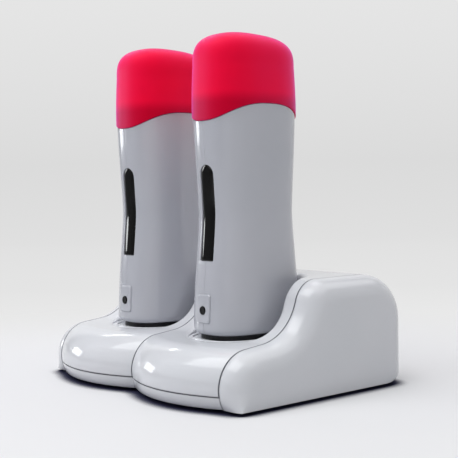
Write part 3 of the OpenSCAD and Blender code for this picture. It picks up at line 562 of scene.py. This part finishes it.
def tray_loop(z, inset):
    """Loop of a tray at the height z: bulged front, right seam, rear with its heel, left seam."""
    x = deck_border(inset)[0]
    front = nose_y - sag(x) - np.sqrt((nose_r - inset) ** 2 - (nose_z - z) ** 2)
    lift = min(z - foot_h, heel_r)
    rear = base_rear - inset - heel_r + np.sqrt(heel_r ** 2 - (heel_r - lift) ** 2)
    n, m = front_columns, side_columns
    share = np.linspace(0, 1, m, endpoint=False)
    y = np.concatenate([front[:n], front[n] + (rear - front[n]) * share, np.full(n, rear),
                        rear + (front[0] - rear) * share])
    return xyz(x, y, z)


def tray_rings():
    """Outer skin from the underside up to the seam, then the inside down to the floor."""
    rings = [tray_loop(foot_h + b, a) for a, b in rounding(tray_edge, 6)[::-1]]
    rings += [tray_loop(z, 0) for z in np.linspace(foot_h + tray_edge, seam_low - seam_edge, 9)[1:]]
    rings += [tray_loop(seam_low - b, a) for a, b in rounding(seam_edge, 6)[1:]]
    rings += [tray_loop(z, wall) for z in np.linspace(seam_low, foot_h + wall, 6)]
    return np.array(rings)


for piece, (side, word) in zip(base_pair("tray", tray_rings(), tray_shade), sides):
    cut_out(piece, [prism(round_hole(side * x, y, r), "Z", foot_h - past, foot_h + deep)
                    for spots, r, deep in ((foot_spots, foot_r, foot_sink),
                                           (screw_spots, head_r + hole_clear, head_t))
                    for x, y in spots])

# Base fittings: rubber feet and screws
# Eight turned feet of black nitrile rubber are glued into the recesses of the trays. Zinc-plated
# steel screws hold the trays to the decks, and longer ones tie modules and cheeks together.


def grained(name, colour, tint, metallic, roughness, grain, depth, **more):
    """Finish whose colour, gloss and relief follow one noise. The grain gives the noise scale
    along each axis, so that a low value draws it out into brush marks along that axis."""
    material, tree, shader, place = new_material(name)
    stretched = add(tree, "Mapping", Vector=place, Scale=grain).outputs["Vector"]
    noise = add(tree, "TexNoise", Vector=stretched, Scale=1, Detail=5).outputs["Fac"]
    feed(shader, Base_Color=tinted(noise, (0.4, colour), (0.62, tint)), Metallic=metallic,
         Roughness=spread(noise, roughness * 0.75, roughness * 1.25),
         Normal=relief(noise, 0.4, depth * MM), **more)
    return material


def dress(material, *names):
    """Give solids of the part that are kept as they are their finish."""
    for name in names:
        for material_slot in frame["nodes"][name].material_slots:
            material_slot.material = material


dress(grained("rubber", (40, 40, 42), (52, 52, 54), 0.0, 0.78, (900, 900, 900), 0.12),
      "rubber_feet")
zinc_steel = grained("zinc_steel", (178, 180, 182), (150, 154, 160), 1.0, 0.3, (350, 350, 1800),
                     0.03)
dress(zinc_steel, "base_screws", "tie_screws")

# Base fittings: mains inlet, board and wiring
# The figure-eight inlet is black glass-filled nylon with two nickel-brass pins. It feeds a small
# lacquered circuit board on posts, with a terminal block and a fuse, and blue PVC wires.
dress(grained("nylon_black", (24, 24, 26), (33, 33, 35), 0.0, 0.42, (1400, 1400, 1400), 0.04),
      "mains_inlet", "left_dock_block", "right_dock_block")
contact_brass = grained("contact_brass", (206, 172, 104), (186, 148, 82), 1.0, 0.24,
                        (500, 500, 2600), 0.02)
dress(contact_brass, "inlet_pins", "left_dock_pins", "right_dock_pins")
dress(grained("wire_blue", (46, 84, 160), (38, 72, 146), 0.0, 0.38, (420, 420, 420), 0.05),
      "base_wiring")
lacquer, lacquer_tint, track_green = (22, 92, 58), (26, 98, 62), (56, 138, 88)


def lacquered_board(name, low, high, above):
    """Green solder lacquer over a net of copper tracks between two heights in millimetres, and
    parts in the colour above over it, told apart by the height on the object."""
    material, tree, shader, place = new_material(name)
    tracks = add(tree, "TexBrick", Vector=place, Color1=linear(*lacquer), Scale=240,
                 Color2=linear(*lacquer_tint), Mortar=linear(*track_green), Mortar_Size=0.05)
    z = add(tree, "SeparateXYZ", Vector=place).outputs["Z"]
    height = add(tree, "MapRange", Value=z, From_Min=low * MM, From_Max=high * MM)
    layer = tinted(height.outputs["Result"], (0.0, (0, 0, 0)), (0.995, (255, 255, 255)))
    layer.node.color_ramp.interpolation = "CONSTANT"
    feed(shader, Base_Color=mix_colours(layer, tracks.outputs["Color"], linear(*above)),
         Roughness=0.32, Coat_Weight=0.4)
    return material


dress(lacquered_board("board_green", 4.2, 10.86, (186, 190, 182)), "junction_board")

# Warmer bodies: half shells
# Each warmer is held in two half shells of pearl-grey, high-gloss ABS, drawn in at a waist for
# the hand. They meet in a fine seam over the narrow sides, with openings for window and switch.
pearl_grey = moulded_plastic("pearl_grey", (189, 190, 198), (185, 187, 195), 0.14, 0.3, 18, 0.18)
shell_low, shell_wall, shell_gap, toe_r = 37.6, 2.0, 0.075, 4.0
waist_z, flare_z, flare_power = 112.0, 185.0, 1.4
waist_half_x, waist_half_y = 22.8, 30.5
top_half_x, top_half_y = 24.0, 33.8
cap_low, cap_wave, wave_power, cap_gap = 168.7, 10.2, 2.6, 0.3
window_w, window_low, window_high, window_round = 12.5, 83.0, 142.0, 0.8
pad_w, pad_low, pad_high, pad_round = 12.0, 45.0, 63.0, 2.0
# The columns are close from an edge out to the grip, and the rings bend to the wave from wave_from
grip, wave_from = 9.0, 150.0
near_columns, far_columns = 14, 70
seam_lip, opening_lip, lip_steps = 0.1, 0.3, 5
warmers = [(side * hand_x, word) for side, word in sides]


def body_half(z):
    """Half widths X and Y of a warmer at the height z: both flare out from the waist, along a
    sine raised to a power."""
    z = np.asarray(z, dtype=float)
    below = z < waist_z
    u = np.where(below, (waist_z - z) / (waist_z - shell_low), (z - waist_z) / (flare_z - waist_z))
    flare = np.sin(np.pi / 2 * np.clip(u, 0, 1)) ** flare_power
    half_x = waist_half_x + (np.where(below, foot_half_x, top_half_x) - waist_half_x) * flare
    half_y = waist_half_y + (np.where(below, foot_half_y, top_half_y) - waist_half_y) * flare
    return half_x, half_y


def body_front(x, z, grow):
    """Y of the front of the body at the place x across it, with the outline grown by grow."""
    half_x, half_y = body_half(z)
    share = np.clip(np.abs(x) / (half_x + grow), 0, 1)
    return -(half_y + grow) * (1 - share ** plan_power) ** (1 / plan_power)


def wave(angle):
    """Height of the wavy parting line under the cap, highest over the broad sides."""
    y = plan_ring(top_half_x, top_half_y, angle)[1]
    return cap_low + cap_wave * (1 - np.clip(np.abs(y) / top_half_y, 0, 1) ** wave_power)


def half_opening(z, w, low, high, r_low, r_high):
    """Half width of an opening at the height z: its corners are quarter circles."""
    def lost(way, r):
        return r - np.sqrt(r ** 2 - np.clip(r - way, 0, r) ** 2)
    if not low < z < high:
        return 0.0
    return w / 2 - lost(z - low, r_low) - lost(high - z, r_high)


def shell_ring(height, edge, bend_out, bend_in):
    """C-shaped ring of a half shell on the side of +X. It starts at the front with the rounded
    edge of the seam or of an opening, runs outside to the rear seam, and comes back inside.
    height gives the Z for an angle, and a bend is an inset of the outline and a drop."""
    z_front = height(np.array(-np.pi / 2))
    lip = opening_lip if edge > 1 else seam_lip
    x_near = edge + lip + (grip - edge - lip) * np.linspace(0, 1, near_columns + 1)
    near = np.arctan2(body_front(x_near, z_front, 0), x_near)
    angle = np.concatenate([near[:-1], np.linspace(near[-1], np.pi / 2, far_columns)])
    runs = []
    for inset, drop in (bend_out, bend_in):
        z = height(angle) - drop
        half_x, half_y = body_half(z)
        x, y = plan_ring(half_x - inset, half_y - inset, angle)
        least = np.where(angle < 0, edge, shell_gap)
        runs.append(xyz(np.maximum(x, least), y, z))
    outer, inner = runs
    turn = quarter(lip_steps)[:0:-1]
    first = outer[0]
    corner = xyz(first[0] - (first[0] - edge) * np.sin(turn),
                 first[1] + lip * (1 - np.cos(turn)), first[2])
    share = np.linspace(0, 1, lip_steps + 1)[1:-1, None]
    side_wall = inner[:1] + (corner[:1] - inner[:1]) * share
    side_wall[:, 0] = edge
    return np.concatenate([corner, outer, inner[::-1], side_wall])


def shell_rings():
    """Half shell on the side of +X, from the rounded toe up to the wavy line under the cap."""
    straight = shell_low + toe_r
    tiny = 0.01
    ease = 1 - np.cos(quarter(8))
    crown = 1 - np.sin(quarter(22))
    heights = np.concatenate([
        np.linspace(straight, pad_low - tiny, 3),
        pad_low + tiny + pad_round * ease,
        np.linspace(pad_low + pad_round, pad_high - pad_round, 9)[1:-1],
        pad_high - tiny - pad_round * ease[::-1],
        np.linspace(pad_high + tiny, window_low - tiny, 12),
        window_low + tiny + window_round * ease,
        np.linspace(window_low + window_round, window_high - window_w / 2, 34)[1:-1],
        window_high - tiny - window_w / 2 * crown,
        np.linspace(window_high + tiny, wave_from, 5)])
    rings = []
    for t in quarter(9)[:-1]:
        rings.append(shell_ring(lambda angle: np.full_like(angle, straight), shell_gap,
                                (toe_r * (1 - np.sin(t)), toe_r * np.cos(t)),
                                (shell_wall + (toe_r - shell_wall) * (1 - np.sin(t)),
                                 (toe_r - shell_wall) * np.cos(t))))
    flush, behind = (0, 0), (shell_wall, 0)
    for z in heights:
        edge = max(half_opening(z, window_w, window_low, window_high, window_round, window_w / 2),
                   half_opening(z, pad_w, pad_low, pad_high, pad_round, pad_round), shell_gap)
        rings.append(shell_ring(lambda angle: np.full_like(angle, z), edge, flush, behind))
    for f in np.linspace(0, 1, 16)[1:]:
        rings.append(shell_ring(
            lambda angle: wave_from + (wave(angle) - cap_gap - wave_from) * f, shell_gap, flush,
            behind))
    return np.array(rings)


half_shell = shell_rings()
for x, word in warmers:
    for face in (-1, 1):
        half = "outer" if face * x > 0 else "inner"
        solid(f"{word}_{half}_half_shell", half_shell * [face, 1, 1] + [x, hand_y, 0], "strip",
              pearl_grey, "body_pearl", f"{word}_warmer", f"{word}_{half}_shell")

# Warmer fronts: level windows
# A smoked acrylic lens, moulded black and polished, sits a little back in its opening. It is
# clipped in from behind, and its outer edge is rounded.
lens_t, lens_sink, trim_clear, lens_edge = 1.7, 0.3, 0.15, 0.5
lens_side, lens_fall = 2.8, 0.8


def gloss_black(name, colour, roughness, coat, **more):
    """Polished black plastic with faint, long handling smears in its gloss."""
    material, tree, shader, place = new_material(name)
    stretched = add(tree, "Mapping", Vector=place, Scale=(60, 60, 14)).outputs["Vector"]
    smear = add(tree, "TexNoise", Vector=stretched, Detail=4).outputs["Fac"]
    lighter = [c + 6 for c in colour]
    feed(shader, Base_Color=tinted(smear, (0.0, colour), (1.0, lighter)),
         Roughness=spread(smear, roughness * 0.6, roughness * 1.6),
         Coat_Weight=coat, Coat_Roughness=0.03, **more)
    return material


window_black = gloss_black("window_black", (9, 9, 10), 0.06, 0.3)


def plate_ring(z, half, grow, depth, soft, fall):
    """Ring at the height z of a plate bent to the front of the body. half is its half width, grow
    the place of its face and depth that of its back. Its sides fall off over an elliptical
    rounding, soft wide and fall deep."""
    r = min(soft, half * 0.9)
    a, b = np.transpose(rounding(r, 11))
    flat = np.linspace(-half + r, half - r, 13)[1:-1]
    x_front = np.concatenate([a - half, flat, half - a[::-1]])
    sunk = np.concatenate([b, 0 * flat, b[::-1]]) * fall / soft
    x_back = np.linspace(half, -half, 12)
    y = np.concatenate([body_front(x_front, z, grow) + sunk, body_front(x_back, z, -depth)])
    return xyz(np.concatenate([x_front, x_back]), y, z)


def window_rings():
    """Lens from its square foot up to its half-round head, with the face rounded at both ends."""
    low, high, half = window_low + trim_clear, window_high - trim_clear, window_w / 2 - trim_clear
    head = high - half * (1 - np.sin(quarter(26)[:-1]))
    levels = [(low + a, half, b) for a, b in rounding(lens_edge, 6)]
    levels += [(z, half, 0.0) for z in np.linspace(low + lens_edge, high - half, 24)[1:-1]]
    levels += [(z, np.sqrt(half ** 2 - (z - high + half) ** 2), 0.0) for z in head]
    return np.array([plate_ring(z, w, -lens_sink - s, lens_t + lens_sink, lens_side, lens_fall)
                     for z, w, s in levels])


def on_both(*pieces):
    """The same pieces at both warmers, with their names, bodies and nodes after the side's word."""
    for x, word in warmers:
        for name, rings, ends, material, slot, body, *stands_for in pieces:
            solid(f"{word}_{name}", rings + [x, hand_y, 0], ends, material, slot, f"{word}_{body}",
                  *(f"{word}_{node}" for node in stands_for))


on_both(("window_lens", window_rings(), "flat", window_black, "window_black", "warmer", "window"))

# Warmer fronts: switch pads and buttons
# The raised pad is moulded in the grey of the body, with a bored hole. The small black button
# in it slides on that bore, and its flange keeps it from falling out.
pad_proud, pad_t, pad_soft, pad_clear, bore_rim = 0.8, 2.0, 0.9, 0.04, 0.25
button_z, button_r, button_proud, slide_clear = 53.0, 2.6, 0.6, 0.08
button_soft, flange_out, flange_t, flange_edge = 0.45, 1.0, 1.2, 0.15
# Radius and depth of the points of the dished face
dish_r = np.array([0.05, 0.6, 1.2, 1.8])
dish_depth = np.array([0.12, 0.11, 0.07, 0.02])
button_columns = 56


def pad_rings():
    """Sections round the bore of the pad, each along a ray from the bore's axis: up the bore,
    over its rounded rim, across the face to the rounded outer edge, and back behind the pad."""
    loop = rounded_box(0, (pad_low + pad_high) / 2, pad_w / 2 - pad_clear,
                       (pad_high - pad_low) / 2 - pad_clear, pad_round - pad_clear, 9)
    run = np.roll(loop, -1, axis=0) - loop
    parts = np.where(np.hypot(*run.T) > 3, 7, 1)
    part = np.arange(parts.sum()) - np.repeat(np.cumsum(parts) - parts, parts)
    loop = np.repeat(loop, parts, axis=0) + np.repeat(run, parts, axis=0) * part[:, None] / 7
    ray = loop - [0, button_z]
    far = np.hypot(*ray.T)[:, None]
    way = ray / far
    bore, back = button_r + slide_clear, pad_proud + pad_t
    rim_a, rim_b = np.transpose(rounding(bore_rim, 5))
    edge_a, edge_b = np.transpose(rounding(pad_soft, 5))
    near = bore + np.append(0, rim_a)
    face = bore + bore_rim + (far - pad_soft - bore - bore_rim) * np.linspace(0, 1, 9)[1:-1]
    edge = far - np.append(edge_b, [0, 0])
    reach = np.concatenate([near + 0 * far, face, edge, bore + 0.4 * (far - bore)], axis=1)
    sunk = np.concatenate([[back], rim_b, np.zeros(7), edge_a, [0.5 * back, back, back]])
    x, z = reach * way[:, :1], button_z + reach * way[:, 1:]
    return xyz(x, body_front(x, z, pad_proud) + sunk, z)


def button_rings():
    """Button turned about the axis Y: a slightly dished face, a rounded rim and a flange."""
    half_y = float(body_half(button_z)[1])
    face = -(half_y + pad_proud + button_proud)
    flange = -(half_y - pad_t) + 0.5
    back, flange_r = flange + flange_t, button_r + flange_out
    a, b = np.transpose(rounding(button_soft, 6))
    radius = np.concatenate([dish_r, button_r - b, [button_r, flange_r - flange_edge, flange_r,
                                                    flange_r, dish_r[0]]])
    depth = np.concatenate([face + dish_depth, face + a, [flange, flange, flange + flange_edge,
                                                          back, back]])[:, None]
    around = np.linspace(0, 2 * np.pi, button_columns, endpoint=False)
    x, z = radius[:, None] * np.cos(around), button_z + radius[:, None] * np.sin(around)
    return xyz(x, depth, z)


button_black = gloss_black("button_black", (5, 5, 8), 0.35, 0.0, Specular_IOR_Level=0.2)
on_both(("pad_moulding", pad_rings(), "joined", pearl_grey, "body_pearl", "warmer", "switch_pad"),
        ("button_cap", button_rings(), "flat", button_black, "button_black", "button", "button"))

# Warmer insides: foot, contacts, collar, well and heater
# The black nylon foot is screwed up into the half shells and carries two nickel-brass sleeves.
# A grey collar holds the deep-drawn aluminium well, with a heating plate glued to each broad side.
dress(grained("foot_black", (17, 17, 22), (24, 24, 29), 0.0, 0.36, (800, 800, 800), 0.05,
              Specular_IOR_Level=0.3), "left_foot", "right_foot")
dress(zinc_steel, "left_foot_screws", "right_foot_screws", "left_thermostat", "right_thermostat")
dress(contact_brass, "left_sleeves", "right_sleeves")
collar_grey = grained("collar_grey", (120, 122, 128), (108, 110, 117), 0.0, 0.45,
                      (600, 600, 600), 0.06)
dress(collar_grey, "left_collar", "right_collar")
dress(grained("well_aluminium", (196, 198, 202), (172, 175, 181), 1.0, 0.3, (1500, 1500, 30),
              0.02), "left_well", "right_well")
skirt_levels, skirt_t, skirt_clear = (164.0, 168.0, 172.2), 1.2, 0.16


def skirt_rings():
    """Thin skirt that runs from the lower edge of the collar down behind the lowest points of the
    wave: the outline of the body, inset by the wall, up outside and down inside."""
    angle = np.linspace(0, 2 * np.pi, 120, endpoint=False)
    rings = []
    for t, levels in ((0.0, skirt_levels), (skirt_t, skirt_levels[::-1])):
        for z in levels:
            half_x, half_y = body_half(z)
            less = shell_wall + skirt_clear + t
            rings.append(xyz(*plan_ring(half_x - less, half_y - less, angle), z))
    return np.array(rings)


on_both(("collar_skirt", skirt_rings(), "joined", collar_grey, "collar_grey", "warmer"))


def banded(name, colour, band_colour, roughness, scale, axis):
    """Finish with fine parallel bands across an axis, slightly bent by noise: the etched track
    of a heating plate, or the braid of a sleeve."""
    material, tree, shader, place = new_material(name)
    bands = add(tree, "TexWave", ("bands_direction", axis), Vector=place, Scale=scale,
                Distortion=0.6, Detail=2).outputs["Fac"]
    feed(shader, Base_Color=tinted(bands, (0.4, colour), (0.6, band_colour)),
         Roughness=roughness, Normal=relief(bands, 0.3, 0.0001))
    return material


dress(banded("heater_mica", (146, 116, 78), (96, 70, 48), 0.5, 90, "Z"), "left_heater",
      "right_heater")
dress(banded("braided_red", (176, 46, 40), (146, 34, 30), 0.6, 420, "DIAGONAL"), "left_leads",
      "right_leads")
dress(lacquered_board("switch_green", 0.0, 200.0, (40, 40, 42)), "left_switch_board",
      "right_switch_board")

# Caps
# The crimson cap lifts off upwards. It is moulded in one piece with a soft, slightly pearly skin
# that looks pinker at a low angle, and its lower edge follows the wave of the body.
cap_top, cap_proud, cap_wall, cap_draft, cap_edge = 223.0, 0.65, 2.1, 1.0, 0.5
crown_h, crown_power, crown_fall = 20.0, 3.1, 1.5
crown_z = cap_top - crown_h
cap_columns = 200


def cap_grow(z):
    """How far the cap stands out from the body at the height z: the sides draw in upwards."""
    return cap_proud - cap_draft * (np.clip(z - cap_low, 0, None) / (crown_z - cap_low)) ** 2


def skirt_loop(share, less, angle, lift=0.0):
    """Loop of the skirt, at a share of the way from the wavy edge up to the crown."""
    z = wave(angle) + lift
    z = z + (crown_z - z) * share
    half_x, half_y = body_half(z)
    grow = cap_grow(z) - less
    x, y = plan_ring(half_x + grow, half_y + grow, angle)
    return xyz(x, y, z)


def crown_loop(t, less, angle):
    """Loop of the crown, a superellipse that falls a little from its middle to the rear."""
    half_x, half_y = body_half(crown_z)
    grow = cap_grow(crown_z) - less
    x, y = plan_ring(half_x + grow, half_y + grow, angle)
    s = np.cos(t) ** (2 / crown_power)
    rise = np.sin(t) ** (2 / crown_power)
    z = crown_z + (crown_h - less - crown_fall * s * y / top_half_y) * rise
    return xyz(s * x, s * y, z)


def cap_rings():
    """Inside from the crown down to the wavy edge, then the outside up to the crown."""
    angle = np.linspace(0, 2 * np.pi, cap_columns, endpoint=False)
    climb = (np.pi / 2 * np.sin(quarter(34)) ** 1.6)[1:-1]
    rings = [crown_loop(t, cap_wall, angle) for t in climb[::-2]]
    rings += [skirt_loop(f, cap_wall, angle) for f in np.linspace(1, 0, 10)]
    rings += [skirt_loop(0, b, angle, a) for a, b in rounding(cap_edge, 6)]
    rings += [skirt_loop(f, 0, angle, cap_edge) for f in np.linspace(0, 1, 26)[1:]]
    rings += [crown_loop(t, 0, angle) for t in climb]
    return np.array(rings)


def smooth(value, low, high, start=0.0, end=1.0):
    """Value that goes over smoothly from start to end while another runs from low to high."""
    eased = add(value.id_data, "MapRange", ("interpolation_type", "SMOOTHSTEP"), Value=value,
                From_Min=low, From_Max=high, To_Min=start, To_Max=end)
    return eased.outputs["Result"]


# Painted shade: below the top of the collar inside, the crimson is painted deeper, standing in for
# the dark collar showing through the wall. Heights in metres over which it goes over from the
# painted colour
cap_shade_low, cap_shade_high, shaded_crimson = 0.1785, 0.1875, (204, 0, 36)
cap_red = moulded_plastic("cap_red", (251, 8, 50), (246, 10, 54), 0.42, 0.0, 26, 0.3,
                          Specular_IOR_Level=0.1, Specular_Tint=linear(255, 110, 220),
                          Sheen_Weight=0.75, Sheen_Roughness=0.45,
                          Sheen_Tint=linear(255, 130, 245))
tree = cap_red.node_tree
place = tree.nodes["Texture Coordinate"].outputs["Object"]
# Painted shade of the cap: the share of plain crimson, 0 below the collar's top and 1 above
above_shade = smooth(add(tree, "SeparateXYZ", Vector=place).outputs["Z"], cap_shade_low, cap_shade_high)
crimson = tree.nodes["Color Ramp"].outputs["Color"]
feed(tree.nodes["Principled BSDF"], Base_Color=mix_colours(above_shade, linear(*shaded_crimson), crimson))
on_both(("cap_moulding", cap_rings(), "flat", cap_red, "cap_red", "cap", "cap"))

# Stage: floor and backdrop
# A pale paper sweep runs under the object and up behind it. Close to the object it is matt and
# takes the shadows, with a painted contact shadow, and further out it glows in pale tones that
# darken a little with distance, painted dim toward the front left.
sweep_reach, sweep_top, sweep_bend = 2.4, 2.2, 0.7
turn = np.linspace(-np.pi / 2, 0, 24)[1:]
profile = np.vstack([[(-sweep_reach, 0.0), (0.0, 0.0), (sweep_reach - sweep_bend, 0.0)],
                     np.stack([sweep_reach - sweep_bend * (1 - np.cos(turn)),
                               sweep_bend * (1 + np.sin(turn))], axis=-1),
                     [(sweep_reach, sweep_top)]])
away = np.array([-np.sin(radians(camera_azimuth)), np.cos(radians(camera_azimuth))])
across = np.array([away[1], -away[0]])
grid = np.vstack([np.hstack([profile[:, :1] * away + across * aside, profile[:, 1:]])
                  for aside in (-sweep_reach, sweep_reach)])
count = len(profile)
sweep_mesh = bpy.data.meshes.new("sweep")
sweep_mesh.from_pydata(grid.tolist(), [],
                       [(i, i + 1, count + i + 1, count + i) for i in range(count - 1)])
sweep_mesh.flip_normals()
sweep_mesh.shade_smooth()
sweep = bpy.data.objects.new("sweep", sweep_mesh)
bring_in(sweep)
# Grey of the paper at a distance in metres away from the camera, twice as fast upwards, and the
# ring in which its matt tone goes over to it. Within the contact reach of what stands on it the
# matt paper is painted darker by the share of open air over it, a painted contact shadow.
paper_tones = ((0.0, 238), (0.6, 228), (1.5, 225), (2.6, 219), (3.8, 229))
paper_reach = paper_tones[-1][0]
matt_low, matt_high = 0.15, 0.42
matt_tone, painted_contact_shadow = (222, 222, 224), (56, 56, 78)
contact_reach, air_low, air_high = 0.010, 0.45, 0.97
# The windows mirror the dim side of the studio at the front left, painted dim on the paper's glow
dim_way, dim_grey, dim_low, dim_high = (-0.5, -0.87, 0.0), (0.1, 0.1, 0.1, 1.0), 0.8, 1.6


def run_along(place, way):
    """How far a place lies in a direction, as their dot product."""
    product = add(place.id_data, "VectorMath", ("operation", "DOT_PRODUCT"), i0=place, i1=way)
    return product.outputs["Value"]


def seen_plainly(tree):
    """1 for what the camera or a reflection sees, and 0 for what lights a matt surface."""
    ray = add(tree, "LightPath").outputs
    seen = add(tree, "Math", ("operation", "MAXIMUM"), i0=ray["Is Camera Ray"],
               i1=ray["Is Glossy Ray"])
    return seen.outputs["Value"]


paper, tree, shader, place = new_material("paper")
tree.nodes.remove(shader)
distance = add(tree, "VectorMath", ("operation", "LENGTH"), i0=place).outputs["Value"]
tone = tinted(run_along(place, (*(away / paper_reach), 2 / paper_reach)),
              *((reach / paper_reach, (grey, grey, grey)) for reach, grey in paper_tones))
# Painted dim side of the paper's glow toward the front left
dusk = smooth(run_along(place, dim_way), dim_low, dim_high)
# Painted contact shadow: the share of open air over the paper
air = add(tree, "AmbientOcclusion", Distance=contact_reach).outputs["AO"]
matt = add(tree, "BsdfDiffuse", Color=mix_colours(
    smooth(air, air_low, air_high), linear(*painted_contact_shadow), linear(*matt_tone)))
glow = add(tree, "Emission", Color=mix_colours(dusk, tone, dim_grey))
weight = add(tree, "Math", ("operation", "MULTIPLY"), i1=seen_plainly(tree),
             i0=smooth(distance, matt_low, matt_high))
both = add(tree, "MixShader", i0=weight.outputs["Value"], i1=matt.outputs["BSDF"],
           i2=glow.outputs["Emission"])
feed(tree.nodes["Material Output"], Surface=both.outputs["Shader"])
sweep_mesh.materials.append(paper)

# Stage: studio light
# The studio round the object is pale at the horizon, dimmer overhead and on one side, and fills
# the shadows evenly. Large soft boxes light the object from the front, the left and above.
horizon_level, zenith_level, ceiling_low, ceiling_high = 0.84, 0.3, 0.12, 0.6
cone_low, cone_high = 0.3, 0.9
fill_grey = (0.15, 0.15, 0.15, 1.0)
world = bpy.data.worlds.new("surround")
world.use_nodes = True
tree = world.node_tree
way_in = add(tree, "TexCoord").outputs["Generated"]
cone = smooth(run_along(way_in, dim_way), cone_low, cone_high)
up = add(tree, "SeparateXYZ", Vector=way_in).outputs["Z"]
ceiling = smooth(up, ceiling_low, ceiling_high, horizon_level, zenith_level)
around = mix_colours(cone, ceiling, dim_grey)
feed(tree.nodes["Background"], Color=mix_colours(seen_plainly(tree), fill_grey, around))
bpy.context.scene.world = world

# Each rectangular lamp faces a point in the middle of the object. Azimuth and height are in
# degrees, then come its distance, width and length in metres, its watts and its colour.
lamp_aim = Vector((0, 0, 0.1))
for name, azimuth, height, reach, wide, tall, watts, colour in (
        ("overhead", -135, 84, 1.4, 1.6, 1.6, 4.0, (1.0, 0.98, 0.94)),
        ("high_front", -95, 62, 1.5, 1.6, 0.9, 14.5, (0.97, 0.99, 1.0)),
        ("low_front", -112, 28, 1.6, 2.4, 1.2, 4.6, (0.97, 0.98, 1.02)),
        ("left_high", 145, 62, 1.5, 1.0, 0.9, 2.5, (0.98, 0.95, 1.04)),
        ("left_bar", 162, 36, 1.5, 0.55, 0.05, 0.8, (1.0, 1.0, 1.0)),
        ("left_window", -157, 7, 1.5, 0.4, 0.28, 2.2, (0.97, 0.99, 1.0)),
        ("right_high", 48, 66, 1.5, 2.0, 1.6, 11.0, (0.99, 1.0, 1.0))):
    data = bpy.data.lights.new(name, "AREA")
    data.shape = "RECTANGLE"
    data.size, data.size_y = wide, tall
    data.energy = watts
    data.color = colour
    lamp = bpy.data.objects.new(name, data)
    way = Vector((np.cos(radians(height)) * np.cos(radians(azimuth)),
                  np.cos(radians(height)) * np.sin(radians(azimuth)), np.sin(radians(height))))
    turned = way.to_track_quat("Z", "Y").to_matrix().to_4x4()
    lamp.matrix_world = Matrix.Translation(lamp_aim + way * reach) @ turned
    bring_in(lamp)
